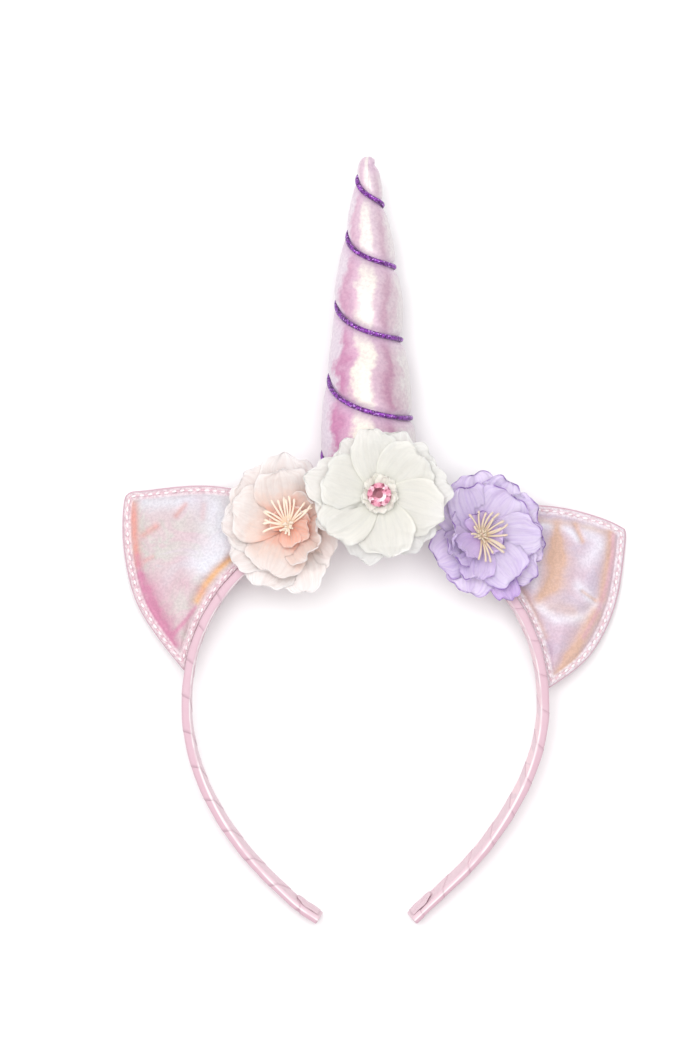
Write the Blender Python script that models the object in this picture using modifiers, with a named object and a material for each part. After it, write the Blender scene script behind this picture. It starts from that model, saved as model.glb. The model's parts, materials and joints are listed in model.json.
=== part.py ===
# Unicorn horn headband lying on a surface.
# Drawn in the frame of the worn band: X to the right, Y from the crown to the horn's tip, Z to the front.
# All sizes are in millimetres there, and one holder lays the whole thing down.

import math

import bmesh
import bpy
import numpy as np
from mathutils import Matrix, Vector

MM = 0.001
GAP = 0.35

# The hoop: an arc over the head, then two branches that close in.
HOOP_RADIUS = 63.4
BAND_WIDTH = 10.0
BAND_TIP_SHARE = 0.82
BAND_THICK = 2.8
BAND_EDGE = 0.7
BAND_STATIONS = 61
# height, left x, right x of the centreline
BRANCHES = [
    (-77.6, -62.2, 62.0),
    (-91.8, -58.0, 57.2),
    (-106.1, -50.6, 49.2),
    (-120.3, -39.9, 38.4),
    (-134.6, -25.4, 23.6),
    (-140.8, -16.6, 17.0),
]
# degrees that the inner face turns to the front: at the crown, at mid branch, at the tip
TWIST_LEFT = (0.0, 4.0, 13.0)
TWIST_RIGHT = (0.0, 9.0, 17.0)
RIBBON_END_LENGTH = 9.0
RIBBON_END_THICK = 1.0

# The horn: height above the crown line, radius
HORN_PROFILE = [
    (1.75, 12.0),
    (3.2, 14.6),
    (6.0, 16.5),
    (11.5, 17.3),
    (25.5, 16.9),
    (41.0, 15.7),
    (54.0, 14.3),
    (68.0, 12.3),
    (79.0, 11.4),
    (92.0, 9.3),
    (104.0, 7.4),
    (114.6, 5.6),
    (122.0, 4.3),
    (126.5, 3.6),
    (128.8, 2.6),
    (129.8, 1.2),
]
HORN_X = 1.1
HORN_LEAN = 0.13
HORN_ROUND = 26
HORN_RINGS = 60
CORD_RADIUS = 1.1
GROOVE_DEPTH = 1.35
GROOVE_HALF = 2.1
BULGE = 0.55
CORD_SLANT = 0.31
CORD_STEPS_A_TURN = 16
CORD_OFF = 0.62
CORD_START = -0.75
CORD_END = 4.42
# turns counted from the left side, height of the cord there
CORD_HEIGHTS = [
    (-1.0, -3.5),
    (-0.5, 10.0),
    (0.0, 23.5),
    (0.5, 36.8),
    (1.0, 50.6),
    (1.5, 64.6),
    (2.0, 77.0),
    (2.5, 90.4),
    (3.0, 101.7),
    (3.5, 112.6),
    (4.0, 121.6),
    (4.5, 127.5),
]

# Ears: free edge from the lower corner, round the point, to the band behind the flower
EAR_LEFT_EDGE = [
    (-64.5, -52.6),
    (-73.0, -42.0),
    (-80.1, -31.3),
    (-84.0, -20.6),
    (-86.3, -6.4),
    (-86.2, 6.0),
    (-84.4, 10.1),
    (-78.0, 11.0),
    (-64.1, 12.5),
    (-54.0, 12.5),
    (-44.5, 10.7),
    (-36.5, 5.6),
    (-30.0, -2.0),
]
EAR_RIGHT_EDGE = [
    (65.3, -59.0),
    (73.6, -53.4),
    (80.5, -47.0),
    (86.2, -37.5),
    (90.1, -26.5),
    (92.3, -13.5),
    (93.2, -4.2),
    (91.2, -1.8),
    (83.7, 1.4),
    (72.5, 4.4),
    (60.5, 5.7),
    (50.5, 4.2),
    (41.5, -5.0),
]
EAR_LEFT_MIDDLE = (-70.5, -8.0)
EAR_RIGHT_MIDDLE = (75.0, -18.0)
EAR_CLEAR = 0.15
EAR_BACK_THICK = 1.6
EAR_BACK_AT = -2.4
EAR_TRIM = 3.3
EAR_PUFF = 3.9
EAR_POINTS = 30

# Flowers: place of the middle, lean of the flower's plane along X and along Y, droop of its lower side
FLOWERS = {
    "white": ((5.0, 9.6), (0.0, -0.16), 0.020),
    "peach": ((-27.4, -1.4), (0.10, -0.10), 0.0),
    "lavender": ((41.3, -5.0), (-0.10, -0.06), 0.0),
}
seats = {}
PETAL_THICK = 1.0
PETAL_POINTS = 40
# One row a petal: direction in degrees, reach, half width. One table a layer, the lowest first.
PETALS = {
    "white": [
        [(-5, 25.3, 10.5), (-50, 24.2, 9.5), (-100, 23.5, 11.0), (-147, 24.3, 9.5),
         (162, 26.3, 10.0), (108, 22.6, 10.5), (50, 22.0, 11.0)],
        [(20, 18.5, 8.5), (-70, 18.0, 9.0), (-130, 18.5, 8.5), (150, 18.5, 8.5), (85, 17.0, 8.5)],
        [(60, 10.5, 5.5), (-12, 10.5, 5.5), (-84, 10.5, 5.5), (-156, 10.5, 5.5), (132, 10.5, 5.5)],
    ],
    "peach": [
        [(176, 22.4, 9.5), (133, 23.8, 9.5), (92, 25.2, 9.5), (50, 15.0, 7.0), (8, 12.0, 6.5),
         (-36, 19.0, 8.0), (-76, 23.8, 9.0), (-115, 23.2, 9.5), (-150, 22.6, 8.5)],
        [(150, 17.0, 8.5), (95, 17.5, 8.5), (35, 13.0, 7.0), (-30, 14.5, 7.5), (-88, 17.0, 8.5),
         (-145, 17.5, 8.5)],
        [(60, 9.5, 5.5), (-10, 10.5, 6.0), (-75, 10.0, 6.0)],
    ],
    "lavender": [
        [(92, 22.8, 9.0), (50, 22.5, 9.0), (12, 21.8, 9.0), (-15, 23.6, 7.0), (-42, 23.5, 8.0),
         (-65, 25.2, 4.5), (-105, 20.6, 8.0), (-150, 18.0, 8.0), (130, 18.3, 7.0)],
        [(115, 15.5, 7.5), (55, 17.0, 8.5), (-5, 18.5, 8.0), (-60, 17.0, 8.0), (-120, 14.5, 7.5),
         (178, 12.0, 6.5)],
        [(100, 9.5, 5.5), (-140, 9.5, 5.5), (-20, 8.5, 5.5)],
    ],
}
# One row a layer: rise of the layer at the middle, rise at the rim, reach that the rise belongs to
CUPS = {
    "white": [(0.0, 3.4, 25.0), (1.4, 4.6, 18.5), (2.8, 3.2, 10.5)],
    "peach": [(0.0, 5.0, 25.0), (1.4, 5.6, 17.5), (2.8, 5.6, 10.5)],
    "lavender": [(0.0, 5.0, 25.0), (1.4, 5.8, 18.5), (2.8, 5.2, 9.5)],
}
GEM_RADIUS = 4.3
STAMEN_REACH = 7.2
STAMEN_POINTS = 16

COLOURS = {
    "band": (0.86, 0.47, 0.56),
    "horn": (0.78, 0.62, 0.78),
    "cord": (0.36, 0.13, 0.62),
    "panel": (0.84, 0.78, 0.88),
    "white": (0.93, 0.92, 0.84),
    "peach": (0.96, 0.78, 0.72),
    "lavender": (0.62, 0.48, 0.82),
    "gem": (0.90, 0.20, 0.45),
    "stamen_peach": (0.96, 0.74, 0.56),
    "stamen_lavender": (0.80, 0.62, 0.40),
}

parts = bpy.data.collections.new("unicorn_horn_headband")
guides = bpy.data.collections.new("guides")
holder = bpy.data.objects.new("laid_down", None)


def clear_scene():
    for thing in list(bpy.data.objects):
        if thing is not holder:
            bpy.data.objects.remove(thing)
    bpy.context.scene.collection.children.link(parts)
    bpy.context.scene.collection.children.link(guides)
    parts.objects.link(holder)


def material(name, colour, roughness):
    made = bpy.data.materials.new(name)
    made.use_nodes = True
    shader = made.node_tree.nodes["Principled BSDF"]
    shader.inputs["Base Color"].default_value = (*colour, 1.0)
    shader.inputs["Roughness"].default_value = roughness
    made.diffuse_color = (*colour, 1.0)
    return made


def add_object(name, data, colour, roughness=0.6, smooth=True):
    """Put a mesh or a curve in the collection, under the holder, with its own material."""
    if isinstance(data, bmesh.types.BMesh):
        mesh = data
        if not any(edge.is_boundary for edge in mesh.edges):
            bmesh.ops.recalc_face_normals(mesh, faces=mesh.faces)
        data = bpy.data.meshes.new(name)
        mesh.to_mesh(data)
        mesh.free()
        for face in data.polygons:
            face.use_smooth = smooth
    made = bpy.data.objects.new(name, data)
    data.materials.append(material(name + "_material", COLOURS[colour], roughness))
    parts.objects.link(made)
    made.parent = holder
    return made


def skin_points(name):
    """The finished skin's points of a piece, in the frame of the worn band."""
    bpy.context.view_layer.update()
    made = bpy.data.objects[name].evaluated_get(bpy.context.evaluated_depsgraph_get())
    mesh = made.to_mesh()
    found = np.array([made.matrix_local @ vert.co for vert in mesh.vertices]) / MM
    made.to_mesh_clear()
    return found


def along(table, at):
    """Smooth value of a table of (position, value) rows, without overshoot between them."""
    places = [row[0] for row in table]
    if at <= places[0]:
        return table[0][1]
    if at >= places[-1]:
        return table[-1][1]
    i = max(k for k in range(len(places) - 1) if places[k] <= at)
    steps = [(b[1] - a[1]) / (b[0] - a[0]) for a, b in zip(table, table[1:])]
    span = places[i + 1] - places[i]

    def slope(k):
        if k == 0 or k == len(steps):
            return steps[min(k, len(steps) - 1)]
        if steps[k - 1] * steps[k] <= 0:
            return 0.0
        return 2 * steps[k - 1] * steps[k] / (steps[k - 1] + steps[k])

    t = (at - places[i]) / span
    return (
        table[i][1] * (1 + 2 * t) * (1 - t) ** 2
        + slope(i) * span * t * (1 - t) ** 2
        + table[i + 1][1] * t * t * (3 - 2 * t)
        - slope(i + 1) * span * t * t * (1 - t)
    )


def spline(points, count, closed=False):
    """Points at even steps along a smooth curve through the given ones."""
    given = [Vector(p) for p in points]
    size = len(given)
    fine = []
    for i in range(size if closed else size - 1):
        if closed:
            a, b, c, d = (given[(i + k) % size] for k in (-1, 0, 1, 2))
        else:
            b, c = given[i], given[i + 1]
            a = given[i - 1] if i else b * 2 - c
            d = given[i + 2] if i + 2 < size else c * 2 - b
        for k in range(12):
            t = k / 12
            fine.append(
                (b * 2 + (c - a) * t + (a * 2 - b * 5 + c * 4 - d) * t * t
                 + (b * 3 - a - c * 3 + d) * t ** 3) / 2
            )
    fine.append(given[0] if closed else given[-1])
    lengths = [0.0]
    for a, b in zip(fine, fine[1:]):
        lengths.append(lengths[-1] + (b - a).length)
    found = []
    for k in range(count):
        want = lengths[-1] * k / (count if closed else count - 1)
        i = min(max(j for j in range(len(fine)) if lengths[j] <= want + 1e-9), len(fine) - 2)
        share = (want - lengths[i]) / max(lengths[i + 1] - lengths[i], 1e-9)
        found.append(fine[i].lerp(fine[i + 1], share))
    return found


def sheet_mesh(outline, middle, shares, height):
    """An open surface over an outline, in rings about a middle point."""
    mesh = bmesh.new()
    rows = []
    for share in shares:
        row = []
        for x, y in outline:
            px = middle[0] + (x - middle[0]) * share
            py = middle[1] + (y - middle[1]) * share
            row.append(mesh.verts.new(Vector((px, py, height(px, py, share))) * MM))
        rows.append(row)
    centre = mesh.verts.new(Vector((*middle, height(*middle, 0.0))) * MM)
    size = len(outline)
    for i in range(size):
        j = (i + 1) % size
        mesh.faces.new((centre, rows[0][i], rows[0][j]))
        for a, b in zip(rows, rows[1:]):
            mesh.faces.new((a[i], b[i], b[j], a[j]))
    mesh.normal_update()
    if sum(face.normal.z for face in mesh.faces) < 0:
        bmesh.ops.reverse_faces(mesh, faces=mesh.faces)
    return mesh


def thicken(made, by):
    """Cloth of one thickness, above the surface as drawn."""
    shell = made.modifiers.new("cloth", "SOLIDIFY")
    shell.thickness = by * MM
    shell.offset = 1.0
    shell.use_even_offset = False


def pad_mesh(outline, middle, shares, top, bottom):
    """A closed pad: a domed surface and a flat one, joined round their shared outline."""
    mesh = sheet_mesh(outline, middle, shares, top)
    below = sheet_mesh(outline, middle, (0.5, 1.0), bottom)
    data = bpy.data.meshes.new("pad_back")
    below.to_mesh(data)
    below.free()
    mesh.from_mesh(data)
    bpy.data.meshes.remove(data)
    rims = [edge for edge in mesh.edges if edge.is_boundary]
    bmesh.ops.bridge_loops(mesh, edges=rims)
    return mesh


# The hoop's stations run from the left tip over the crown to the right tip.
def hoop_stations():
    left = [(row[1], row[0]) for row in reversed(BRANCHES)]
    right = [(row[2], row[0]) for row in BRANCHES]
    arc = []
    for k in range(13):
        turn = math.radians(180 - 15 * k)
        arc.append((HOOP_RADIUS * math.cos(turn), HOOP_RADIUS * (math.sin(turn) - 1)))
    return spline([(*p, 0.0) for p in left + arc + right], BAND_STATIONS + 1)


def section_at(stations, i):
    """Twist in radians and share of the full size at a station, counted from the crown outwards."""
    middle = (len(stations) - 1) / 2
    far = abs(i - middle) / middle
    twist_by = TWIST_LEFT if i < middle else TWIST_RIGHT
    twist = along([(0.15, twist_by[0]), (0.6, twist_by[1]), (1.0, twist_by[2])], far)
    size = along([(0.0, 1.0), (0.7, 1.0), (1.0, BAND_TIP_SHARE)], far)
    return math.radians(twist), size


def poly_curve(name, points, closed=False):
    data = bpy.data.curves.new(name, "CURVE")
    data.dimensions = "3D"
    line = data.splines.new("POLY")
    line.points.add(len(points) - 1)
    for point, place in zip(line.points, points):
        point.co = (*(Vector(place) * MM), 1.0)
    line.use_cyclic_u = closed
    return data


def make_band():
    """A rounded strip swept along the hoop, with its width across the hoop's plane."""
    wide, thick = BAND_WIDTH / 2, BAND_THICK / 2
    corners = []
    for u, v in ((1, 1), (-1, 1), (-1, -1), (1, -1)):
        a = (u * thick, v * (wide - BAND_EDGE), 0)
        b = (u * (thick - BAND_EDGE), v * wide, 0)
        corners += [a, b] if u * v > 0 else [b, a]
    profile = bpy.data.objects.new("band_profile", poly_curve("band_profile", corners[::-1], closed=True))
    profile.hide_render = True
    profile.display_type = "WIRE"
    guides.objects.link(profile)

    stations = hoop_stations()
    path = poly_curve("band_core", stations)
    path.twist_mode = "Z_UP"
    path.bevel_mode = "OBJECT"
    path.bevel_object = profile
    path.use_fill_caps = True
    for i, point in enumerate(path.splines[0].points):
        twist, size = section_at(stations, i)
        point.tilt = -twist
        point.radius = size
    add_object("band_core", path, "band", 0.45)


def make_ribbon_ends():
    """A flat piece of ribbon along the inner face of each tip."""
    stations = hoop_stations()
    for side, i, j in (("left", 0, 2), ("right", -1, -3)):
        tip, next_in = stations[i], stations[j]
        inward = (next_in - tip).normalized()
        twist, size = section_at(stations, i % len(stations))
        towards_left = inward if side == "right" else -inward
        outward = Vector((towards_left.y, -towards_left.x, 0.0))
        across = Vector((0, 0, 1)) * math.cos(twist) + outward * math.sin(twist)
        out = outward * math.cos(twist) - Vector((0, 0, 1)) * math.sin(twist)
        size = (size + 1.0) / 2
        depth = size * BAND_THICK / 2 + GAP + RIBBON_END_THICK / 2
        place = tip + inward * (RIBBON_END_LENGTH / 2 + 1.2) - out * depth
        mesh = bmesh.new()
        bmesh.ops.create_cube(mesh, size=1.0)
        scale = (RIBBON_END_LENGTH * MM, (BAND_WIDTH * BAND_TIP_SHARE - 1.2) * MM, RIBBON_END_THICK * MM)
        bmesh.ops.scale(mesh, vec=scale, verts=mesh.verts)
        made = add_object("ribbon_end_" + side, mesh, "band", 0.45, smooth=False)
        turn = Matrix((inward, across, inward.cross(across))).transposed().to_4x4()
        made.matrix_local = Matrix.Translation(place * MM) @ turn
        edge = made.modifiers.new("soft_edge", "BEVEL")
        edge.width = 0.3 * MM
        edge.segments = 1


# The cord's angle is counted from the front towards the right. One turn goes left, back, right, front.
def cord_angle(turns):
    return math.radians(270 - 360 * turns)


def cord_height(turns):
    radius = along(HORN_PROFILE, along(CORD_HEIGHTS, turns))
    fade = min(1.0, max(0.0, (4.6 - turns) / 0.8))
    return along(CORD_HEIGHTS, turns) - CORD_SLANT * fade * radius * math.cos(cord_angle(turns))


def crossings(angle):
    """Heights at which the cord passes this angle, the lowest first."""
    start = (270 - math.degrees(angle)) / 360
    return [cord_height(start + n) for n in range(-2, 6) if -1.3 < start + n < 4.75]


def horn_radius(angle, height):
    radius = along(HORN_PROFILE, height)
    passes = crossings(angle)
    size = min(1.0, radius / 6.0)
    for low, high in zip(passes, passes[1:]):
        if low <= height < high:
            share = (height - low) / (high - low)
            radius += BULGE * size * (4.6 * share ** 1.25 * (1 - share) - 0.45)
    for place in passes:
        radius -= GROOVE_DEPTH * math.exp(-(((height - place) / GROOVE_HALF) ** 2)) * size ** 0.4
    return radius


def make_horn():
    """A cylinder of many rings, each point of which moves to the stuffed horn's radius and height."""
    mesh = bmesh.new()
    bmesh.ops.create_cone(mesh, cap_ends=True, segments=HORN_ROUND, radius1=1.0, radius2=1.0, depth=1.0)
    uprights = [e for e in mesh.edges if abs(e.verts[0].co.z - e.verts[1].co.z) > 0.5]
    bmesh.ops.subdivide_edges(mesh, edges=uprights, cuts=HORN_RINGS - 2, use_grid_fill=True)
    low, high = HORN_PROFILE[0][0], HORN_PROFILE[-1][0]
    spread = [(0.0, low), (0.05, low + 3.4), (0.12, low + 12.0), (0.9, high - 8.5),
              (0.97, high - 1.6), (1.0, high)]
    for vert in mesh.verts:
        angle = math.atan2(vert.co.x, vert.co.y)
        height = along(spread, vert.co.z + 0.5)
        plain = along(HORN_PROFILE, height)
        ease = max(0.0, min(1.0, (height - low) / 3.0, (high - height) / 3.0))
        radius = plain + (horn_radius(angle, height) - plain) * ease
        place = (HORN_X + radius * math.sin(angle), height, radius * math.cos(angle) - HORN_LEAN * height)
        vert.co = Vector(place) * MM
    sides = [face for face in mesh.faces if len(face.verts) == 4]
    for face in sides:
        # Each square is split along the way that the cord climbs.
        lowest = sorted(face.verts, key=lambda v: v.co.y)[:2]
        turns = [math.atan2(v.co.x / MM - HORN_X, v.co.z / MM + HORN_LEAN * v.co.y / MM) for v in lowest]
        step = (turns[1] - turns[0] + math.pi) % (2 * math.pi) - math.pi
        start = lowest[0] if step < 0 else lowest[1]
        ends = [v for v in face.verts if v not in lowest]
        across = [v for v in ends if not any(start in e.verts and v in e.verts for e in face.edges)]
        bmesh.utils.face_split(face, start, across[0])
    add_object("horn", mesh, "horn", 0.4)


def make_cord():
    count = round((CORD_END - CORD_START) * CORD_STEPS_A_TURN)
    path = []
    for k in range(count + 1):
        turns = CORD_START + (CORD_END - CORD_START) * k / count
        height = cord_height(turns)
        plain = along(HORN_PROFILE, height)
        size = min(1.0, plain / 6.0)
        radius = plain - (GROOVE_DEPTH + 0.45 * BULGE) * size ** 0.4 + GAP + CORD_OFF + CORD_RADIUS
        angle = cord_angle(turns)
        depth = radius * math.cos(angle) - HORN_LEAN * height
        path.append((HORN_X + radius * math.sin(angle), height, depth))
    data = poly_curve("horn_cord", path)
    data.bevel_depth = CORD_RADIUS * MM
    data.bevel_resolution = 2
    data.use_fill_caps = True
    data.splines[0].use_smooth = True
    add_object("horn_cord", data, "cord", 0.35)


def settle():
    """Slope of the hoop's plane at which the horn's belly and the hoop's tips touch the same surface."""
    tube = np.concatenate([skin_points("horn"), skin_points("horn_cord")])
    hoop = skin_points("band_core")

    def lowest(points, slope):
        return (points[:, 1] * math.sin(slope) + points[:, 2] * math.cos(slope)).min()

    low, high = 0.0, 0.3
    for _ in range(40):
        slope = (low + high) / 2
        if lowest(hoop, slope) > lowest(tube, slope):
            low = slope
        else:
            high = slope
    return slope, lowest(tube, slope)


def ear_lean(edge, slope, floor):
    """How steeply an ear leans back, so that its outer edge all but touches the surface."""
    found = 1.0
    for x, y in edge:
        far = math.hypot(x, y + HOOP_RADIUS) - HOOP_RADIUS - BAND_THICK / 2
        if far > 5.0:
            room = (y * math.sin(slope) - floor - EAR_CLEAR) / math.cos(slope) + EAR_BACK_AT
            found = min(found, room / far)
    return found


def behind(x, y, lean):
    """How far an ear lies behind the hoop's plane: it leans back away from the band."""
    far = math.hypot(x, y + HOOP_RADIUS) - HOOP_RADIUS - BAND_THICK / 2
    return -lean * max(far, 0.0)


def ear_outline(edge, count):
    """The free edge, then back along the band's outer face."""
    free = spline([(*p, 0.0) for p in edge], round(count * 0.66))
    radius = HOOP_RADIUS + BAND_THICK / 2 + GAP
    turns = [math.atan2(p[1] + HOOP_RADIUS, p[0]) for p in (edge[-1], edge[0])]
    steps = count - len(free)
    back = []
    for k in range(steps + 1):
        turn = turns[0] + (turns[1] - turns[0]) * k / steps
        back.append((radius * math.cos(turn), radius * math.sin(turn) - HOOP_RADIUS))
    return [(p.x, p.y) for p in free[1:-1]] + back


def inset(outline, middle, by):
    """The outline moved inwards by a set distance."""
    size = len(outline)
    found = []
    for i, (x, y) in enumerate(outline):
        before, after = outline[i - 1], outline[(i + 1) % size]
        into = Vector((before[1] - after[1], after[0] - before[0])).normalized()
        if into.dot(Vector((middle[0] - x, middle[1] - y))) < 0:
            into = -into
        found.append((x + into.x * by, y + into.y * by))
    return found


def make_ear(side, edge, middle, lean):
    outline = ear_outline(edge, EAR_POINTS)
    back = sheet_mesh(
        outline, middle, (0.5, 1.0), lambda x, y, share: EAR_BACK_AT + behind(x, y, lean)
    )
    thicken(add_object("ear_backing_" + side, back, "band", 0.5), EAR_BACK_THICK)
    floor = EAR_BACK_AT + EAR_BACK_THICK + GAP + 0.15
    panel = pad_mesh(
        inset(outline, middle, EAR_TRIM), middle, (0.35, 0.65, 0.88, 1.0),
        lambda x, y, share: floor + 0.7 + EAR_PUFF * (1 - share ** 2.6) ** 0.7 + behind(x, y, lean),
        lambda x, y, share: floor + behind(x, y, lean),
    )
    add_object("ear_panel_" + side, panel, "panel", 0.4)


def petal_reach(petals, angle):
    """Reach of the layer's outline: the farthest of its petals, each an ellipse that starts at the middle."""
    best = 3.0
    for turn, reach, half in petals:
        off = (angle - math.radians(turn) + math.pi) % (2 * math.pi) - math.pi
        if abs(off) > 1.5:
            continue
        middle, long_half = reach * 0.56, reach * 0.44
        c, s = math.cos(off), math.sin(off)
        a = (c / long_half) ** 2 + (s / half) ** 2
        b = -2 * middle * c / long_half ** 2
        d = b * b - 4 * a * ((middle / long_half) ** 2 - 1)
        if d > 0:
            best = max(best, (-b + math.sqrt(d)) / (2 * a))
    return best


def flower_point(flower, x, y, z):
    """From a flower's own flat plane to the band's frame. Its lower side droops past the horn's foot."""
    (cx, cy), lean, droop = FLOWERS[flower]
    sag = droop * max(0.0, -y - 4.0) ** 2
    return Vector((cx + x, cy + y, seats[flower] + lean[0] * x + lean[1] * y - sag + z))


def find_seat(flower, carriers):
    """Height at which the flower's lowest layer just clears the pieces that carry it."""
    (cx, cy), _, _ = FLOWERS[flower]
    seats[flower] = 0.0
    needed = []
    for carrier in carriers:
        for x, y, z in skin_points(carrier) - np.array((cx, cy, 0.0)):
            far = math.hypot(x, y)
            if z > -1 and far < petal_reach(PETALS[flower][0], math.atan2(y, x)) + 1:
                needed.append(z - flower_point(flower, x, y, petal_height(flower, 0, far)).z)
    seats[flower] = max(needed) + GAP


def petal_height(flower, layer, far):
    rise, cup, reach = CUPS[flower][layer]
    return rise + cup * (far / reach) ** 1.7


def make_flower(flower):
    for layer, name in enumerate(("outer", "middle", "inner")):
        petals = PETALS[flower][layer]
        outline = []
        for k in range(PETAL_POINTS):
            angle = 2 * math.pi * k / PETAL_POINTS
            far = petal_reach(petals, angle)
            outline.append((far * math.cos(angle), far * math.sin(angle)))

        mesh = sheet_mesh(
            outline, (0.0, 0.0), (0.35, 0.7, 1.0),
            lambda x, y, share: petal_height(flower, layer, math.hypot(x, y)),
        )
        for vert in mesh.verts:
            vert.co = flower_point(flower, *(vert.co / MM)) * MM
        made = add_object(flower + "_petals_" + name, mesh, flower, 0.7)
        thicken(made, PETAL_THICK)


def make_gem():
    top = petal_height("white", 2, 3.9) + PETAL_THICK + GAP
    rings = []
    for radius, z, turn in ((3.6, 0.0, 0.0), (GEM_RADIUS, 0.9, 0.0), (3.3, 1.9, 0.5), (2.3, 2.5, 0.0)):
        ring = []
        for k in range(10):
            angle = 2 * math.pi * (k + turn) / 10
            place = (radius * math.cos(angle), radius * math.sin(angle), top + z)
            ring.append(flower_point("white", *place))
        rings.append(ring)
    mesh = bmesh.new()
    rows = [[mesh.verts.new(Vector(p) * MM) for p in ring] for ring in rings]
    for i in range(10):
        j = (i + 1) % 10
        mesh.faces.new((rows[0][i], rows[0][j], rows[1][j], rows[1][i]))
        mesh.faces.new((rows[1][i], rows[1][j], rows[2][i]))
        mesh.faces.new((rows[2][i], rows[1][j], rows[2][j]))
        mesh.faces.new((rows[2][i], rows[2][j], rows[3][j]))
        mesh.faces.new((rows[2][i], rows[3][j], rows[3][i]))
    mesh.faces.new(rows[0])
    mesh.faces.new(rows[3])
    add_object("white_flower_gem", mesh, "gem", 0.1, smooth=False)


def make_stamens(flower):
    """A low tuft of threads, with a ridge for each bundle."""
    outline = []
    for k in range(2 * STAMEN_POINTS):
        angle = math.pi * k / STAMEN_POINTS
        far = STAMEN_REACH * (1.0 if k % 2 else 0.62)
        outline.append((far * math.cos(angle), far * math.sin(angle)))

    def floor(x, y):
        return petal_height(flower, 2, math.hypot(x, y)) + PETAL_THICK + GAP

    mesh = pad_mesh(
        outline, (0.0, 0.0), (0.45, 1.0),
        lambda x, y, share: floor(x, y) + 1.4 + 1.4 * (1 - share),
        lambda x, y, share: floor(x, y) + 0.4,
    )
    for vert in mesh.verts:
        vert.co = flower_point(flower, *(vert.co / MM)) * MM
    add_object(flower + "_stamens", mesh, "stamen_" + flower, 0.6)


def lay_down(tilt):
    """Turn the holder by the hoop's slope, and put the base's middle at the origin."""
    turn = Matrix.Rotation(tilt, 4, "X")
    names = [thing.name for thing in parts.objects if thing is not holder]
    corners = np.concatenate([skin_points(name) for name in names])
    corners = corners @ np.array(turn.to_3x3()).T * MM
    low, high = corners.min(axis=0), corners.max(axis=0)
    shift = Vector((-(low[0] + high[0]) / 2, -(low[1] + high[1]) / 2, -low[2]))
    holder.matrix_world = Matrix.Translation(shift) @ turn


clear_scene()
make_band()
make_ribbon_ends()
make_horn()
make_cord()
tilt, floor = settle()
for side, edge, middle in (
    ("left", EAR_LEFT_EDGE, EAR_LEFT_MIDDLE),
    ("right", EAR_RIGHT_EDGE, EAR_RIGHT_MIDDLE),
):
    make_ear(side, edge, middle, ear_lean(edge, tilt, floor))
for flower, carriers in (
    ("white", ("horn", "horn_cord")),
    ("peach", ("band_core", "horn", "horn_cord", "ear_backing_left", "ear_panel_left")),
    ("lavender", ("band_core", "horn", "horn_cord", "ear_backing_right", "ear_panel_right")),
):
    find_seat(flower, carriers)
    make_flower(flower)
make_gem()
make_stamens("peach")
make_stamens("lavender")
lay_down(tilt)
print(f"hoop slopes {math.degrees(tilt):.2f} degrees, crown {-floor:.2f} mm up")
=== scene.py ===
# Looks of the unicorn horn headband: cloth, ribbon, cord, flowers, stitches and their finishes.
# Places are worked out in the frame of the worn band, in millimetres: X to the right, Y from the crown
# to the horn's tip, Z to the front. lay() takes them to where the headband lies.

import math
import random

import bpy
import numpy as np
from mathutils import Matrix, Vector, noise
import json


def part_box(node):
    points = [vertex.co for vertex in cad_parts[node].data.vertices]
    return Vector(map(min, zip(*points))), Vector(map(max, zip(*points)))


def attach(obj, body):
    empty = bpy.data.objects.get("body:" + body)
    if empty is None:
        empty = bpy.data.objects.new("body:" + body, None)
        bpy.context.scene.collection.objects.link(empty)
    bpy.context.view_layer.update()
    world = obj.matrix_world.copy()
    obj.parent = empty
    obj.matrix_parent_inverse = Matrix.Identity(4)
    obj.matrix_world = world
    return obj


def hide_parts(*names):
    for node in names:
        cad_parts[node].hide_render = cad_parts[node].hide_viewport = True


MM = 0.001
FLOOR_GAP = 0.15

# The hoop
HOOP_RADIUS = 63.4
BAND_WIDTH = 10.0
BAND_THICK = 2.8
BAND_TIP_SHARE = 0.82
# how far the CAD band's flat facets lie inside its curve at the crown
FACET_SAG = 0.078
# height, left x, right x of the centreline
BRANCHES = [
    (-77.6, -62.2, 62.0), (-91.8, -58.0, 57.2), (-106.1, -50.6, 49.2), (-120.3, -39.9, 38.4),
    (-134.6, -25.4, 23.6), (-140.8, -16.6, 17.0),
]
TWIST_LEFT = (0.0, 4.0, 13.0)
TWIST_RIGHT = (0.0, 9.0, 17.0)

# The ribbon wound round it
RIBBON_WIDTH = 15.5
RIBBON_PITCH = 12.6
RIBBON_THICK = 0.08
RIBBON_OFF = 0.14
# share of the way round, from the inner face's middle, where the painted highlight along the ridge lies
RIDGE_AT = 0.196
# the ribbon's doubled end inside each tip: how far it lies off the band, and its thickness
FLAP_LIFT = 0.72
FLAP_THICK = 0.24

# The horn: height above the crown line, radius
HORN_PROFILE = [
    (1.75, 12.0), (3.2, 14.6), (6.0, 16.5), (11.5, 17.3), (25.5, 16.9), (41.0, 15.7), (54.0, 14.3),
    (68.0, 12.3), (79.0, 12.0), (92.0, 9.9), (104.0, 7.6), (114.6, 5.6), (122.0, 4.3), (126.5, 3.6),
    (128.8, 2.6), (129.8, 1.2),
]
HORN_X = 1.1
HORN_LEAN = 0.13
HORN_ROUND = 150
HORN_RINGS = 330
CORD_RADIUS = 0.94
STRANDS = 4
STRAND_RADIUS = 0.44
STRAND_OUT = 0.50
STRAND_TWIST = 3.1
CORE_RADIUS = 0.66
BRAID_STEP = 0.21
GROOVE_DEPTH = 1.35
GROOVE_HALF = 2.1
BULGE = 0.8
HORN_STRETCH = 1.009
CORD_SLANT = 0.31
CORD_OFF = -0.12
CORD_START = -0.75
CORD_END = 4.22
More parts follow.
